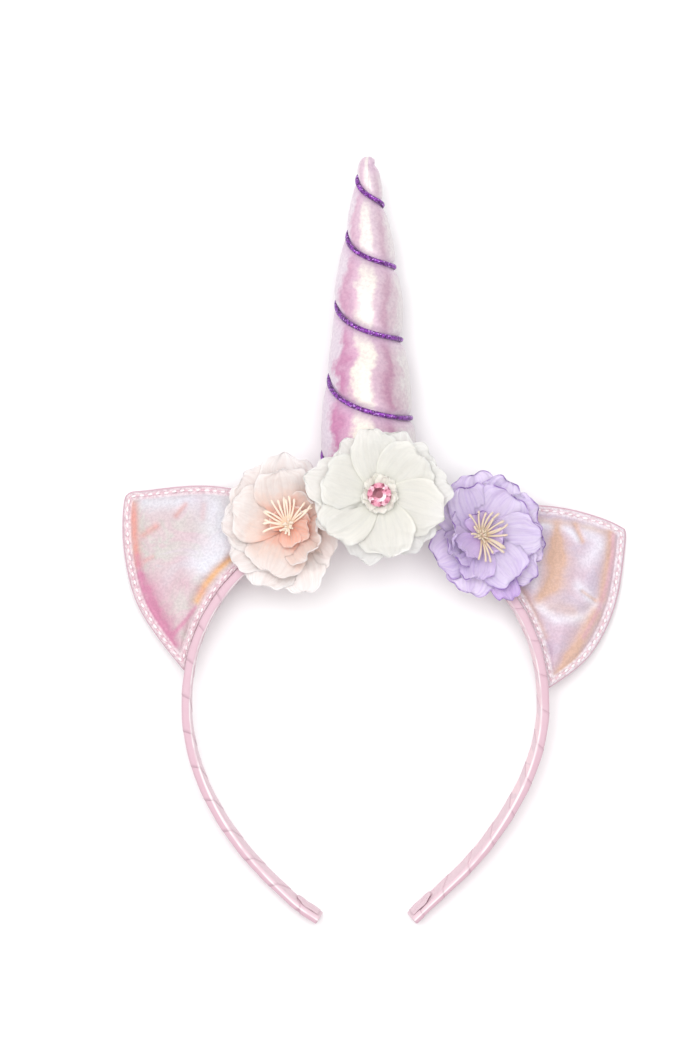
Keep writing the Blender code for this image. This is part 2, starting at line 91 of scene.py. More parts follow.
# turns counted from the left side, height of the cord there
CORD_HEIGHTS = [
    (-1.0, -3.5), (-0.5, 10.0), (0.0, 23.5), (0.5, 36.8), (1.0, 50.6), (1.5, 64.6), (2.0, 77.0),
    (2.5, 90.4), (3.0, 101.7), (3.5, 112.6), (4.0, 121.6), (4.5, 127.5),
]
# colour of the cloth from the horn's left side to its right: painted iridescent sheen, with a painted ivory
# highlight down the middle
HORN_SHEEN_TONES = [
    (0.06, (0.68, 0.58, 0.66)), (0.16, (0.54, 0.21, 0.38)), (0.27, (0.62, 0.34, 0.49)),
    (0.38, (0.80, 0.74, 0.66)), (0.53, (0.82, 0.77, 0.68)), (0.63, (0.58, 0.40, 0.49)),
    (0.78, (0.46, 0.24, 0.345)), (0.88, (0.58, 0.45, 0.50)), (0.96, (0.66, 0.62, 0.61)),
]

# Ears: free edge from the lower corner, round the point, to the band behind the flower
EAR_EDGES = {
    "left": [
        (-64.5, -52.6), (-73.0, -42.0), (-80.1, -31.3), (-84.0, -20.6), (-86.3, -6.4), (-86.2, 6.0),
        (-84.4, 10.1), (-78.0, 11.0), (-64.1, 12.5), (-54.0, 12.5), (-44.5, 10.7), (-36.5, 5.6),
        (-30.0, -2.0),
    ],
    "right": [
        (65.3, -59.0), (73.6, -53.4), (80.5, -47.0), (86.2, -37.5), (90.1, -26.5), (92.3, -13.5),
        (93.2, -4.2), (91.2, -1.8), (83.7, 1.4), (72.5, 4.4), (60.5, 5.7), (50.5, 4.2), (41.5, -5.0),
    ],
}
EAR_MIDDLES = {"left": (-70.5, -8.0), "right": (75.0, -18.0)}
EAR_LEANS = {"left": 0.365, "right": 0.345}
EAR_BACK_THICK = 1.6
EAR_BACK_AT = -2.4
# underside of the padded front
EAR_BASE = EAR_BACK_AT + EAR_BACK_THICK + 0.04
EAR_TRIM = 2.9
STITCH_LINE = 1.35
EAR_PUFF = 3.7
EAR_POINTS = 260
EAR_TO_BAND = 0.2
STITCH_PITCH = 2.9
STITCH_RADIUS = 0.43
EAR_SEEDS = {"left": 3, "right": 4}

# Creases of the ears' fronts: line, half width, depth
EAR_CREASES = {
    "left": [
        ([(-63.5, 7.5), (-64.7, 6.0), (-67.8, 2.8)], 1.0, 0.75),
        ([(-73.2, -0.4), (-74.6, -1.3), (-79.6, -4.5)], 1.0, 0.7),
        ([(-75.6, -12.3), (-78.8, -13.9)], 0.9, 0.45), ([(-57.4, 7.6), (-57.9, 1.4)], 1.1, 0.45),
        ([(-59.5, 8.2), (-63.7, -7.5), (-68.4, -21.0)], 2.2, 0.4),
        ([(-46.4, -12.3), (-54.8, -19.1), (-59.5, -25.8), (-61.0, -29.5)], 1.6, 0.9),
        ([(-82.6, 4.1), (-82.0, -10.7), (-79.0, -23.4), (-72.5, -36.2), (-68.5, -42.6)], 1.9, 0.7),
    ],
    "right": [
        ([(68.5, -1.0), (69.0, -10.0), (67.0, -19.5), (63.7, -26.6)], 2.4, 0.9),
        ([(74.7, -0.5), (77.5, -6.7)], 0.9, 0.9), ([(77.5, -24.7), (82.2, -28.0)], 0.8, 0.8),
        ([(61.0, -29.0), (70.0, -33.5), (80.0, -31.0)], 1.2, 0.5),
        ([(87.5, -4.8), (86.2, -14.4), (83.5, -24.8), (76.5, -38.0), (68.5, -51.0)], 2.0, 0.8),
    ],
}
# Tinted streaks of the ears' fronts, painted sheen where the iridescent cloth turns from the light: line,
# half width, strength
EAR_STREAKS = {
    "left": {
        "warm": [
            ([(-83.0, 6.1), (-82.6, -2.8), (-82.0, -9.5), (-81.2, -15.3)], 1.45, 1.0),
            ([(-64.2, 6.2), (-67.4, 2.3)], 0.8, 0.55), ([(-74.6, -1.6), (-79.1, -4.5)], 1.1, 0.6),
            ([(-57.5, 6.1), (-57.9, 1.4)], 0.9, 0.25), ([(-75.7, -12.4), (-78.6, -13.9)], 0.7, 0.4),
        ],
        "rosy": [
            ([(-79.9, -20.0), (-76.8, -28.4), (-73.6, -35.0), (-69.6, -41.5), (-68.2, -43.8)], 1.9, 0.95),
            ([(-76.0, -24.5), (-73.2, -31.0), (-70.6, -36.0)], 4.2, 0.5),
            ([(-81.3, -12.5), (-80.6, -18.0)], 1.3, 0.6),
            ([(-60.4, -30.4), (-64.3, -35.5), (-68.6, -40.4)], 0.75, 0.75),
            ([(-59.5, 8.2), (-63.7, -7.5), (-68.4, -21.0)], 4.0, 0.16),
            ([(-58.5, -24.5), (-64.0, -22.0)], 1.8, 0.25),
        ],
        "pale": [
            ([(-54.0, 6.0), (-51.0, -4.0), (-54.0, -12.0)], 6.5, 0.85),
            ([(-79.0, 6.9), (-62.0, 7.6)], 2.6, 0.75), ([(-62.0, -14.0), (-58.0, -17.0)], 3.0, 0.5),
        ],
        "amber": [([(-45.8, -11.4), (-52.6, -17.2), (-56.9, -22.4), (-59.8, -28.0)], 1.2, 1.0)],
    },
    "right": {
        "warm": [
            ([(68.5, -1.1), (68.6, -6.0)], 1.5, 0.9), ([(68.5, -8.0), (68.5, -12.0)], 2.7, 1.0),
            ([(68.3, -14.5), (67.6, -21.0)], 3.9, 1.0), ([(66.0, -23.2), (61.8, -27.3)], 1.9, 0.9),
            ([(88.0, -3.6), (87.5, -11.1), (85.7, -19.9), (84.6, -27.7)], 1.6, 0.95),
            ([(82.2, -32.8), (77.6, -40.8), (73.6, -47.7)], 2.5, 1.0),
            ([(73.6, -47.7), (68.2, -54.6)], 1.7, 1.0), ([(75.2, -1.0), (77.8, -7.0)], 0.8, 0.75),
            ([(77.5, -24.7), (82.2, -28.0)], 0.55, 0.6),
        ],
        "rosy": [
            ([(78.0, -13.0), (77.5, -19.0)], 4.4, 0.1), ([(70.0, -40.0), (68.0, -46.0)], 4.4, 0.15),
            ([(88.9, -4.5), (88.5, -12.0), (86.9, -21.0), (83.6, -31.0), (78.0, -41.0)], 0.8, 0.6),
        ],
        "pale": [
            ([(63.5, -1.0), (72.0, -2.2), (76.0, -6.0)], 1.4, 0.9),
            ([(80.0, -3.2), (84.5, -8.0), (79.0, -14.0)], 3.0, 0.75),
            ([(62.0, -29.6), (68.0, -34.6), (79.0, -34.0), (82.5, -29.5), (76.0, -22.5)], 1.8, 0.9),
            ([(61.5, -10.0), (60.5, -22.0)], 2.0, 0.6),
        ],
        "amber": [
            ([(66.5, -29.9), (73.8, -31.6)], 2.6, 0.4), ([(56.6, -24.7), (64.2, -40.8)], 1.2, 0.5),
            ([(60.0, 0.8), (74.4, -0.6), (85.8, -3.6)], 1.1, 0.45),
        ],
    },
}

# Flowers: place of the middle, lean of the flower's plane along X and along Y, droop of its lower side
FLOWERS = {
    "white": ((5.0, 9.6), (0.0, -0.16), 0.020),
    "peach": ((-27.4, -1.4), (0.10, -0.10), 0.0),
    "lavender": ((41.3, -5.0), (-0.10, -0.06), 0.0),
}
FLOWER_SEEDS = {"white": 12, "peach": 8, "lavender": 5}
PETAL_THICK = 0.18
# points along a petal and across it
PETAL_GRID = (30, 28)
PETAL_FLAT = {"white": 0.62, "peach": 0.8, "lavender": 0.85}
RUFFLE = {"white": 0.95, "peach": 1.0, "lavender": 1.45}
# One row a petal: direction in degrees, reach, half width, bend in radians, tone. On the white flower the
# tone is painted shade, most on the lower layer's lower right petals. The lowest layer first.
PETALS = {
    "white": [
        [
            (8, 25.3, 9.5, 0.1, 0.3), (-48, 24.4, 9.5, -0.25, 0.55), (-106, 24.0, 10.0, -0.3, 0.5),
            (-160, 23.5, 9.5, 0.1, 0.3), (166, 26.3, 9.5, 0.1, 0.2), (126, 22.4, 9.0, 0.1, 0.3),
            (38, 23.6, 9.5, 0.1, 0.4), (72, 23.0, 9.5, 0.1, 0.35),
        ],
        [
            (-18, 23.2, 10.5, 0.15, 0.0), (-80, 21.8, 10.5, 0.0, 0.0), (-146, 22.6, 10.0, 0.15, 0.0),
            (160, 21.0, 10.0, 0.1, 0.05), (97, 23.4, 8.5, 0.0, 0.1), (45, 21.0, 10.5, 0.15, 0.05),
        ],
        [
            (64, 7.2, 3.6, 0.4, 0.0), (8, 6.6, 3.4, 0.3, 0.1), (-42, 6.4, 3.4, 0.3, 0.0),
            (-96, 6.6, 3.4, 0.3, 0.1), (-150, 6.4, 3.4, 0.3, 0.0), (158, 6.2, 3.4, 0.3, 0.1),
            (112, 7.4, 3.6, 0.4, 0.0),
        ],
    ],
    "peach": [
        [
            (176, 22.8, 10.5, 0.2, 0.0), (133, 24.3, 10.5, 0.2, 0.1), (92, 25.6, 10.5, 0.25, 0.0),
            (50, 16.0, 8.0, 0.4, 0.1), (8, 13.0, 7.5, 0.4, 0.3), (-36, 19.6, 9.5, 0.2, 0.1),
            (-76, 24.2, 10.0, -0.15, 0.0), (-115, 23.6, 10.5, -0.1, 0.0), (-150, 23.0, 9.5, 0.1, 0.0),
        ],
        [
            (158, 20.5, 11.0, 0.3, 0.05), (98, 20.5, 10.5, 0.35, 0.0), (40, 15.0, 7.5, 1.2, 0.12),
            (-14, 14.0, 7.5, 1.5, 0.15), (-58, 15.5, 7.0, 1.4, 0.1), (-112, 18.0, 11.0, 0.25, 0.1),
        ],
        [
            (40, 8.0, 4.4, 0.8, 0.15), (-18, 8.0, 4.2, 0.7, 0.2), (-80, 7.4, 4.0, 0.3, 0.1),
            (150, 6.6, 4.0, 0.4, 0.1),
        ],
    ],
    "lavender": [
        [
            (97, 22.8, 9.5, 0.1, 0.15), (62, 22.3, 9.0, 0.1, 0.0), (27, 22.3, 9.0, 0.1, 0.0),
            (-8, 23.0, 8.0, 0.1, 0.25), (-38, 23.5, 8.5, 0.1, 0.0), (-65, 25.2, 5.5, 0.1, 1.0),
            (-102, 20.9, 9.5, 0.0, 0.1), (-150, 18.6, 9.5, 0.1, 0.15), (135, 18.3, 8.0, 0.3, 0.1),
        ],
        [
            (108, 19.0, 8.5, 0.5, 0.1), (52, 18.8, 10.5, 0.3, 0.05), (0, 21.0, 8.5, 0.25, 0.0),
            (-52, 20.0, 9.0, 0.3, 0.05), (-98, 16.5, 6.5, 0.9, 0.3), (-150, 14.0, 7.5, 1.2, 0.15),
            (172, 13.5, 7.5, 1.8, 0.1),
        ],
        [(100, 8.5, 5.0, 0.5, 0.3), (-140, 9.5, 5.5, 1.2, 0.4), (-20, 8.0, 5.0, 0.3, 0.2)],
    ],
}
# One row a layer: rise of the layer at the middle, rise at the rim, reach that the rise belongs to
CUPS = {
    "white": [(0.0, 3.4, 25.0), (1.4, 4.6, 18.5), (2.8, 3.2, 10.5)],
    "peach": [(0.0, 5.0, 25.0), (1.4, 5.6, 17.5), (2.8, 5.6, 10.5)],
    "lavender": [(0.0, 5.0, 25.0), (1.4, 5.8, 18.5), (2.8, 5.2, 9.5)],
}
# One row a bundle: first and last direction in degrees, threads, shortest, longest
STAMENS = {
    "peach": [(28, 192, 14, 7.5, 11.0), (200, 300, 3, 2.5, 4.0)],
    "lavender": [(-95, 118, 17, 7.0, 10.0), (118, 170, 2, 3.0, 4.5)],
}
STAMEN_RADIUS = 0.37
KNOT_THREADS = 24
GEM_RADIUS = 4.3
# Painted reflections of the stone: brightness of its facets, taken in turn, and of the facets round its table
# from the right
GEM_GLINTS = [0.55, 0.35, 0.9, 0.5, 0.65, 0.3, 0.75]
GEM_TABLE_REFLECTIONS = [0.7, 0.5, 0.3, 0.15, 0.1, 0.05, 0.1, 0.15, 0.3, 0.45, 0.6, 0.75, 0.9, 1.0, 1.0, 0.95]

# The photo's frame: pixels, and the pixel at the top of the band's centreline
PHOTO_WIDE = 700
PHOTO_HIGH = 1050
PIXEL = 0.356
CROWN_PIXEL = (365, 522)
CAMERA_FAR = 2400.0

WORLD_LIGHT = 0.70
# One row a light: name, place and width in metres, power in watts
LIGHTS = [("window", (-0.62, 0.32, 1.6), 1.1, 9.0), ("fill", (0.10, 0.0, 1.9), 1.2, 18.5)]

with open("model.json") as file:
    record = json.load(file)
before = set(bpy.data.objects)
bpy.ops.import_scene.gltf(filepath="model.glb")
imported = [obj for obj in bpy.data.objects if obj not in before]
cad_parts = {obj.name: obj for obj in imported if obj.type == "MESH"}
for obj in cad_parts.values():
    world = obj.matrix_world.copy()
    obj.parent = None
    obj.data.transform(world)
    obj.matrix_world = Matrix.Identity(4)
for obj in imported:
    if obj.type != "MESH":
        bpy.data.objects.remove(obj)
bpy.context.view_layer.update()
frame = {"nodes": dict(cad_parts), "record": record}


def worn_frame():
    """Where the worn band's frame lies: its slope and crown come from the seat under the crown."""
    seat = next(m for m in frame["record"]["mounts"] if m["name"] == "head_seat")
    inward = Vector(seat["axis"])
    slope = math.atan2(-inward.z, -inward.y)
    up = Vector((0.0, math.cos(slope), math.sin(slope)))
    crown = Vector(seat["pos_m"]) + up * (BAND_THICK / 2 + FACET_SAG) * MM
    low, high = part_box("band_core")
    crown.x = (low.x + high.x) / 2
    return Matrix.Translation(crown) @ Matrix.Rotation(slope, 4, "X")


WORN = worn_frame()
WORN_TURN = np.array(WORN.to_3x3())
WORN_PLACE = np.array(WORN.translation)


def lay(points):
    """From worn millimetres to the row frame in metres."""
    return np.asarray(points, float) @ WORN_TURN.T * MM + WORN_PLACE


def unlay(points):
    """From the row frame in metres to worn millimetres."""
    return (np.asarray(points, float) - WORN_PLACE) @ WORN_TURN / MM


def add_object(name, data):
    made = bpy.data.objects.new(name, data)
    bpy.context.scene.collection.objects.link(made)
    return made


def piece(name, points, faces, material, slot, smooth=True):
    """A mesh piece from points in worn millimetres, clear of the floor and riding on the headband."""
    laid = lay(points)
    laid[:, 2] = np.maximum(laid[:, 2], FLOOR_GAP * MM)
    mesh = bpy.data.meshes.new(name)
    mesh.from_pydata(laid.tolist(), [], faces)
    mesh.validate()
    mesh.polygons.foreach_set("use_smooth", [smooth] * len(mesh.polygons))
    mesh.materials.append(material)
    made = add_object(name, mesh)
    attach(made, "root")
    return made


def mark(made, name, values, domain="POINT"):
    """A number at each point, or face, of a piece, for its material to read."""
    attribute = made.data.attributes.new(name, "FLOAT", domain)
    attribute.data.foreach_set("value", np.asarray(values, np.float32).ravel())


def grid_faces(rows, cols, wrap=False):
    """Four-sided faces of a grid of points, counted row by row."""
    faces = []
    for i in range(rows - 1):
        for j in range(cols if wrap else cols - 1):
            k = (j + 1) % cols
            a, b = i * cols, (i + 1) * cols
            faces.append((a + j, a + k, b + k, b + j))
    return faces


def thicken(made, by, offset=1.0):
    shell = made.modifiers.new("cloth", "SOLIDIFY")
    shell.thickness = by * MM
    shell.offset = offset
    shell.use_even_offset = False


def smooth_step(x):
    x = np.clip(x, 0.0, 1.0)
    return x * x * (3 - 2 * x)


def bell(off, half):
    """1 on a line, fading out smoothly to both sides of it."""
    return np.exp(-((off / half) ** 2))


def wobble(x, y, z, size, seed=0.0):
    """Smooth noise between about -1 and 1, with features of the given size."""
    x, y, z = np.broadcast_arrays(x / size + seed, y / size - seed, z / size)
    found = [noise.noise(Vector(place)) for place in zip(x.ravel(), y.ravel(), z.ravel())]
    return np.array(found).reshape(x.shape)


def along(table, at):
    """Smooth values of a table of (position, value) rows, without overshoot between them."""
    x, y = (np.array([row[k] for row in table], float) for k in (0, 1))
    steps = np.diff(y) / np.diff(x)
    slope = np.concatenate([steps[:1], np.zeros(len(x) - 2), steps[-1:]])
    for k in range(1, len(x) - 1):
        if steps[k - 1] * steps[k] > 0:
            slope[k] = 2 * steps[k - 1] * steps[k] / (steps[k - 1] + steps[k])
    at = np.clip(np.asarray(at, float), x[0], x[-1])
    i = np.clip(np.searchsorted(x, at, side="right") - 1, 0, len(x) - 2)
    span = x[i + 1] - x[i]
    t = (at - x[i]) / span
    return (y[i] * (1 + 2 * t) * (1 - t) ** 2 + slope[i] * span * t * (1 - t) ** 2
            + y[i + 1] * t * t * (3 - 2 * t) - slope[i + 1] * span * t * t * (1 - t))


def distances(path):
    """How far along a path each of its points lies."""
    return np.concatenate([[0.0], np.cumsum(np.linalg.norm(np.diff(path, axis=0), axis=1))])


def walked(path, at, want):
    """Points of a path, whose own points lie at the distances 'at', where it is 'want' long."""
    return np.stack([np.interp(want, at, column) for column in path.T], axis=-1)


def directions(path):
    run = np.gradient(path, axis=0)
    return run / np.linalg.norm(run, axis=1, keepdims=True)


def spline(points, count):
    """Points at even steps along a smooth curve through the given ones."""
    given = np.array(points, float)
    given = np.vstack([given[0] * 2 - given[1], given, given[-1] * 2 - given[-2]])
    fine = []
    for a, b, c, d in zip(given, given[1:], given[2:], given[3:]):
        for k in range(12):
            t = k / 12
            fine.append((b * 2 + (c - a) * t + (a * 2 - b * 5 + c * 4 - d) * t * t
                         + (b * 3 - a - c * 3 + d) * t ** 3) / 2)
    fine = np.array(fine + [given[-2]])
    at = distances(fine)
    return walked(fine, at, np.linspace(0, at[-1], count))


class Surface:
    """A Principled material with its fixed numbers on the sockets, and helpers to add nodes one by one."""

    def __init__(self, name, roughness, **sockets):
        self.material = bpy.data.materials.new(name)
        self.material.use_nodes = True
        self.tree = self.material.node_tree
        self.shader = self.tree.nodes["Principled BSDF"]
        self.shader.inputs["Roughness"].default_value = roughness
        for key, value in sockets.items():
            self.shader.inputs[key.replace("_", " ")].default_value = value

    def node(self, kind, inputs=None, **settings):
        made = self.tree.nodes.new("ShaderNode" + kind)
        for key, value in settings.items():
            setattr(made, key, value)
        for key, value in (inputs or {}).items():
            if isinstance(value, bpy.types.NodeSocket):
                self.tree.links.new(value, made.inputs[key])
            else:
                made.inputs[key].default_value = value
        return made

    def place(self):
        return self.node("TexCoord").outputs["Object"]

    def read(self, name):
        return self.node("Attribute", attribute_name=name).outputs["Fac"]

    def noise(self, scale, detail=3.0, rough=0.5, distortion=0.0, vector=None):
        inputs = {"Vector": vector or self.place(), "Scale": scale, "Detail": detail, "Roughness": rough,
                  "Distortion": distortion}
        return self.node("TexNoise", inputs).outputs["Fac"]

    def ramp(self, factor, stops, mode="EASE"):
        """Colours, or greys given as one number, at places of the factor."""
        made = self.node("ValToRGB", {"Fac": factor})
        made.color_ramp.interpolation = mode
        elements = made.color_ramp.elements
        while len(elements) < len(stops):
            elements.new(0.5)
        for element, (at, colour) in zip(elements, stops):
            element.position = at
            element.color = (*(colour if isinstance(colour, tuple) else (colour,) * 3), 1.0)
        return made.outputs["Color"]

    def math(self, kind, a, b=0.0, c=0.0):
        return self.node("Math", {0: a, 1: b, 2: c}, operation=kind).outputs["Value"]

    def mix(self, factor, a, b, kind="MIX"):
        a, b = (value if isinstance(value, bpy.types.NodeSocket) else (*value, 1.0) for value in (a, b))
        return self.node("Mix", {0: factor, 6: a, 7: b}, data_type="RGBA", blend_type=kind).outputs[2]

    def tint(self, base, tone, factor, strength):
        """The base, turned towards the tone by the factor times the strength."""
        return self.mix(self.math("MULTIPLY", factor, strength), base, tone)

    def weave(self, pitch):
        """Crossed threads of the given pitch in millimetres."""
        waves = []
        for axis in ("X", "Y"):
            inputs = {"Vector": self.place(), "Scale": 0.314 / pitch / MM, "Distortion": 0.6, "Detail": 1.0}
            waves.append(self.node("TexWave", inputs, bands_direction=axis).outputs["Fac"])
        return self.math("MULTIPLY", waves[0], waves[1])

    def feed(self, name, socket):
        self.tree.links.new(socket, self.shader.inputs[name])

    def finished(self, colour, height=None, strength=0.0, depth=0.0):
        """The material with its colour, and with a bump of the given strength and depth in millimetres."""
        self.feed("Base Color", colour)
        if height is not None:
            inputs = {"Height": height, "Strength": strength, "Distance": depth * MM}
            self.feed("Normal", self.node("Bump", inputs).outputs["Normal"])
        return self.material


def satin_ribbon():
    """Satin: darker pink where the mark 'shade' is high, and a painted highlight along the mark 'line'."""
    made = Surface("satin_ribbon", 0.5, Sheen_Weight=0.15, Sheen_Roughness=0.3, Specular_IOR_Level=0.3)
    # deep: the darker pink, used as painted shade on the ribbon and laid faintly on the threads' grain
    deep = (0.56, 0.33, 0.41)
    threads = made.noise(900.0, 2.0)
    base = made.mix(made.read("shade"), (0.69, 0.51, 0.565), deep)
    base = made.tint(base, (0.80, 0.69, 0.73), made.noise(140.0), 0.25)
    base = made.tint(base, deep, threads, 0.14)
    # The painted highlight along the ridge, broken into patches
    broken = made.ramp(made.noise(120.0, 2.0), [(0.36, 0.3), (0.55, 1.0)])
    base = made.tint(base, (0.95, 0.92, 0.92), made.read("line"), broken)
    made.feed("Roughness", made.math("MULTIPLY_ADD", threads, 0.18, 0.42))
    return made.finished(base, made.math("ADD", threads, made.weave(0.25)), 0.25, 0.05)


def band_line():
    """The hoop's centreline from the left tip over the crown to the right tip."""
    left = [(row[1], row[0]) for row in reversed(BRANCHES)]
    right = [(row[2], row[0]) for row in BRANCHES]
    turns = [math.radians(180 - 15 * k) for k in range(13)]
    arc = [(HOOP_RADIUS * math.cos(turn), HOOP_RADIUS * (math.sin(turn) - 1)) for turn in turns]
    return spline(left + arc + right, 1200)


LINE = band_line()
LINE_AT = distances(LINE)
LINE_LONG = LINE_AT[-1]


def on_line(at):
    flat = walked(LINE, LINE_AT, np.clip(at, 0.0, LINE_LONG))
    return np.concatenate([flat, np.zeros_like(flat[..., :1])], axis=-1)


def far_from_crown(at):
    """0 at the crown and 1 at either tip."""
    return np.abs(at - LINE_LONG / 2) / (LINE_LONG / 2)


def band_frame(at):
    """Centre, outward, across, run and size of the band's section at distances from the left tip."""
    at = np.clip(at, 0.0, LINE_LONG)
    step = 1.5
    run = on_line(at + step) - on_line(at - step)
    run /= np.linalg.norm(run, axis=-1, keepdims=True)
    outward = np.stack([-run[..., 1], run[..., 0], np.zeros_like(at)], axis=-1)
    far = far_from_crown(at)
    twists = [along(list(zip((0.15, 0.6, 1.0), degrees)), far) for degrees in (TWIST_LEFT, TWIST_RIGHT)]
    twist = np.radians(np.where(at < LINE_LONG / 2, *twists))[..., None]
    size = along([(0.0, 1.0), (0.7, 1.0), (1.0, BAND_TIP_SHARE)], far)
    front = np.array((0.0, 0.0, 1.0))
    across = front * np.cos(twist) + outward * np.sin(twist)
    out = outward * np.cos(twist) - front * np.sin(twist)
    return on_line(at), out, across, run, size


def section_table():
    """The band's rounded section: share of the way round, place and normal, from the inner face's middle."""
    half_out, half_across, corner = BAND_THICK / 2, BAND_WIDTH / 2, 0.85
    points, normals = [(-half_out, 0.0)], [(-1.0, 0.0)]
    for u, v, start in ((-1, 1, 180), (1, 1, 90), (1, -1, 0), (-1, -1, -90)):
        for k in range(7):
            turn = math.radians(start - 15 * k)
            normal = (math.cos(turn), math.sin(turn))
            points.append((u * (half_out - corner) + corner * normal[0],
                           v * (half_across - corner) + corner * normal[1]))
            normals.append(normal)
    points, normals = np.array(points + points[:1]), np.array(normals + normals[:1])
    at = distances(points)
    return at / at[-1], points, normals, at[-1]


SECTION_AT, SECTION, SECTION_NORMALS, SECTION_LONG = section_table()


def on_band(at, share, height):
    """A point above the band's surface: distance from the left tip, share of the way round, height."""
    centre, out, across, _, size = band_frame(at)
    place = walked(SECTION, SECTION_AT, share % 1.0)
    normal = walked(SECTION_NORMALS, SECTION_AT, share % 1.0)
    lift = np.hypot(normal[..., 0], normal[..., 1])
    u, v = (place[..., k] * size + normal[..., k] / lift * height for k in (0, 1))
    return centre + out * u[..., None] + across * v[..., None]


def painted_shade_and_ridge_highlight(at, share):
    """Painted shade, a darker pink, on the band's front and outer faces, and a painted highlight along the
    ridge before them.
    """
    past = share % 1.0 - RIDGE_AT - 0.045 * smooth_step((far_from_crown(at) - 0.45) / 0.5)
    painted_shade = smooth_step(past / 0.014) * smooth_step((0.86 - share % 1.0) / 0.05)
    return painted_shade, 0.85 * bell(past + 0.006, 0.011)


def make_ribbon():
    """One ribbon wound along the whole hoop, each turn lapped over the one before."""
    turns = LINE_LONG / RIBBON_PITCH
    a_turn = 96
    around = np.arange(int((turns + 1.4) * a_turn)) / a_turn - 0.7
    across = np.linspace(-RIBBON_WIDTH / 2, RIBBON_WIDTH / 2, 13)
    slope_length = math.hypot(SECTION_LONG, RIBBON_PITCH)
    # Each row of the grid keeps to one place round the section, so lines along the band stay straight.
    turned = around[:, None] + across[None, :] * RIBBON_PITCH / slope_length / SECTION_LONG
    at = turned * RIBBON_PITCH + across[None, :] * SECTION_LONG / slope_length
    share = np.broadcast_to(around[:, None], at.shape)
    past_edge = across + RIBBON_WIDTH / 2
    rise = 1.4 * RIBBON_THICK * (1 - smooth_step((past_edge - RIBBON_WIDTH + RIBBON_PITCH) / 2.0))
    creases = np.zeros_like(at)
    rng = random.Random(11)
    for _ in range(150):
        turn, off, long = rng.uniform(-0.5, turns + 0.5), rng.uniform(-6, 6), rng.uniform(0.04, 0.13)
        depth, width, slant = rng.uniform(-0.07, 0.11), rng.uniform(0.35, 0.8), rng.uniform(-12, 12)
        away = turned - turn
        creases += depth * bell(across[None, :] - off - slant * away, width) * bell(away, long)
    points = on_band(at, share, RIBBON_OFF + 0.02 + rise + np.maximum(creases, -0.12))
    keep = ((at > 0.15) & (at < LINE_LONG - 0.15)).ravel()
    faces = [f for f in grid_faces(*at.shape) if all(keep[k] for k in f)]
    used = sorted({k for f in faces for k in f})
    index = {k: i for i, k in enumerate(used)}
    faces = [tuple(index[k] for k in f[::-1]) for f in faces]
    made = piece("ribbon_wrap", points.reshape(-1, 3)[used], faces, SATIN, "ribbon")
    # Painted shade: darker pink on the front and outer faces, stronger towards the tips, and along each lap's
    # edge.
    painted_shade, line = painted_shade_and_ridge_highlight(at, share)
    painted_shade = painted_shade * (0.35 + 0.5 * far_from_crown(at)) + 0.12 * bell(past_edge, 0.6)
    mark(made, "shade", np.clip(painted_shade, 0, 1).ravel()[used])
    # painted highlight along the ridge
    mark(made, "line", line.ravel()[used])
    thicken(made, RIBBON_THICK)


def cord_angle(turns):
    """The cord's angle, from the front towards the right. One turn goes left, back, right, front."""
    return np.radians(270 - 360 * np.asarray(turns, float))


def cord_height(turns):
    """Height of the cord. It slants, so its front lies lower than its back, less so at the tip."""
    level = along(CORD_HEIGHTS, turns)
    fade = np.clip((4.6 - np.asarray(turns, float)) / 0.8, 0, 1)
    return level - CORD_SLANT * fade * along(HORN_PROFILE, level) * np.cos(cord_angle(turns))


def on_horn(radius, angle, height):
    """A point of the leaning horn from its radius, its angle from the front and its height."""
    return np.stack([HORN_X + radius * np.sin(angle), height * HORN_STRETCH,
                     radius * np.cos(angle) - HORN_LEAN * height], axis=-1)


def horn_radius(angle, height):
    """Radius of the horn, pinched at the cord and bulging between its turns, and the way to the cord."""
    plain = along(HORN_PROFILE, height)
    size = np.minimum(1.0, plain / 6.0)
    start = (270 - np.degrees(angle)) / 360
    starts = [start + n for n in range(-2, 6)]
    passes = [np.where((s > -1.3) & (s < 4.75), cord_height(s), np.nan) for s in starts]
    radius = plain.copy()
    for low, high in zip(passes, passes[1:]):
        share = (height - low) / (high - low)
        bulge = BULGE * size * (4.6 * np.abs(share) ** 1.25 * (1 - share) - 0.45)
        radius = np.where((share >= 0) & (share < 1), radius + bulge, radius)
    near = np.full_like(radius, 99.0)
    for place in passes:
        off = np.nan_to_num(height - place, nan=99.0)
        radius -= GROOVE_DEPTH * bell(off, GROOVE_HALF) * size ** 0.4
        near = np.where(np.abs(off) < np.abs(near), off, near)
    return radius, near


def horn_folds(angle, height, plain):
    """Short folds that run out from the cord, up and down the horn."""
    folds = np.zeros_like(plain)
    rng = random.Random(5)
    for _ in range(70):
        turn = rng.uniform(0, 2 * math.pi)
        turns = (270 - math.degrees(turn)) / 360 + rng.randint(-1, 4)
        if not -0.7 < turns < 4.4:
            continue
        side, long = rng.choice((-1, 1)), rng.uniform(4.0, 9.0)
        wide, depth = rng.uniform(0.7, 1.5), rng.uniform(0.10, 0.34)
        up = (height - float(cord_height(turns))) * side
        off = ((angle - turn + math.pi) % (2 * math.pi) - math.pi) * plain - rng.uniform(-0.35, 0.35) * up
        folds += depth * bell(off, wide) * smooth_step(up / 1.5) * (1 - smooth_step((up - 1.5) / long))
    return folds


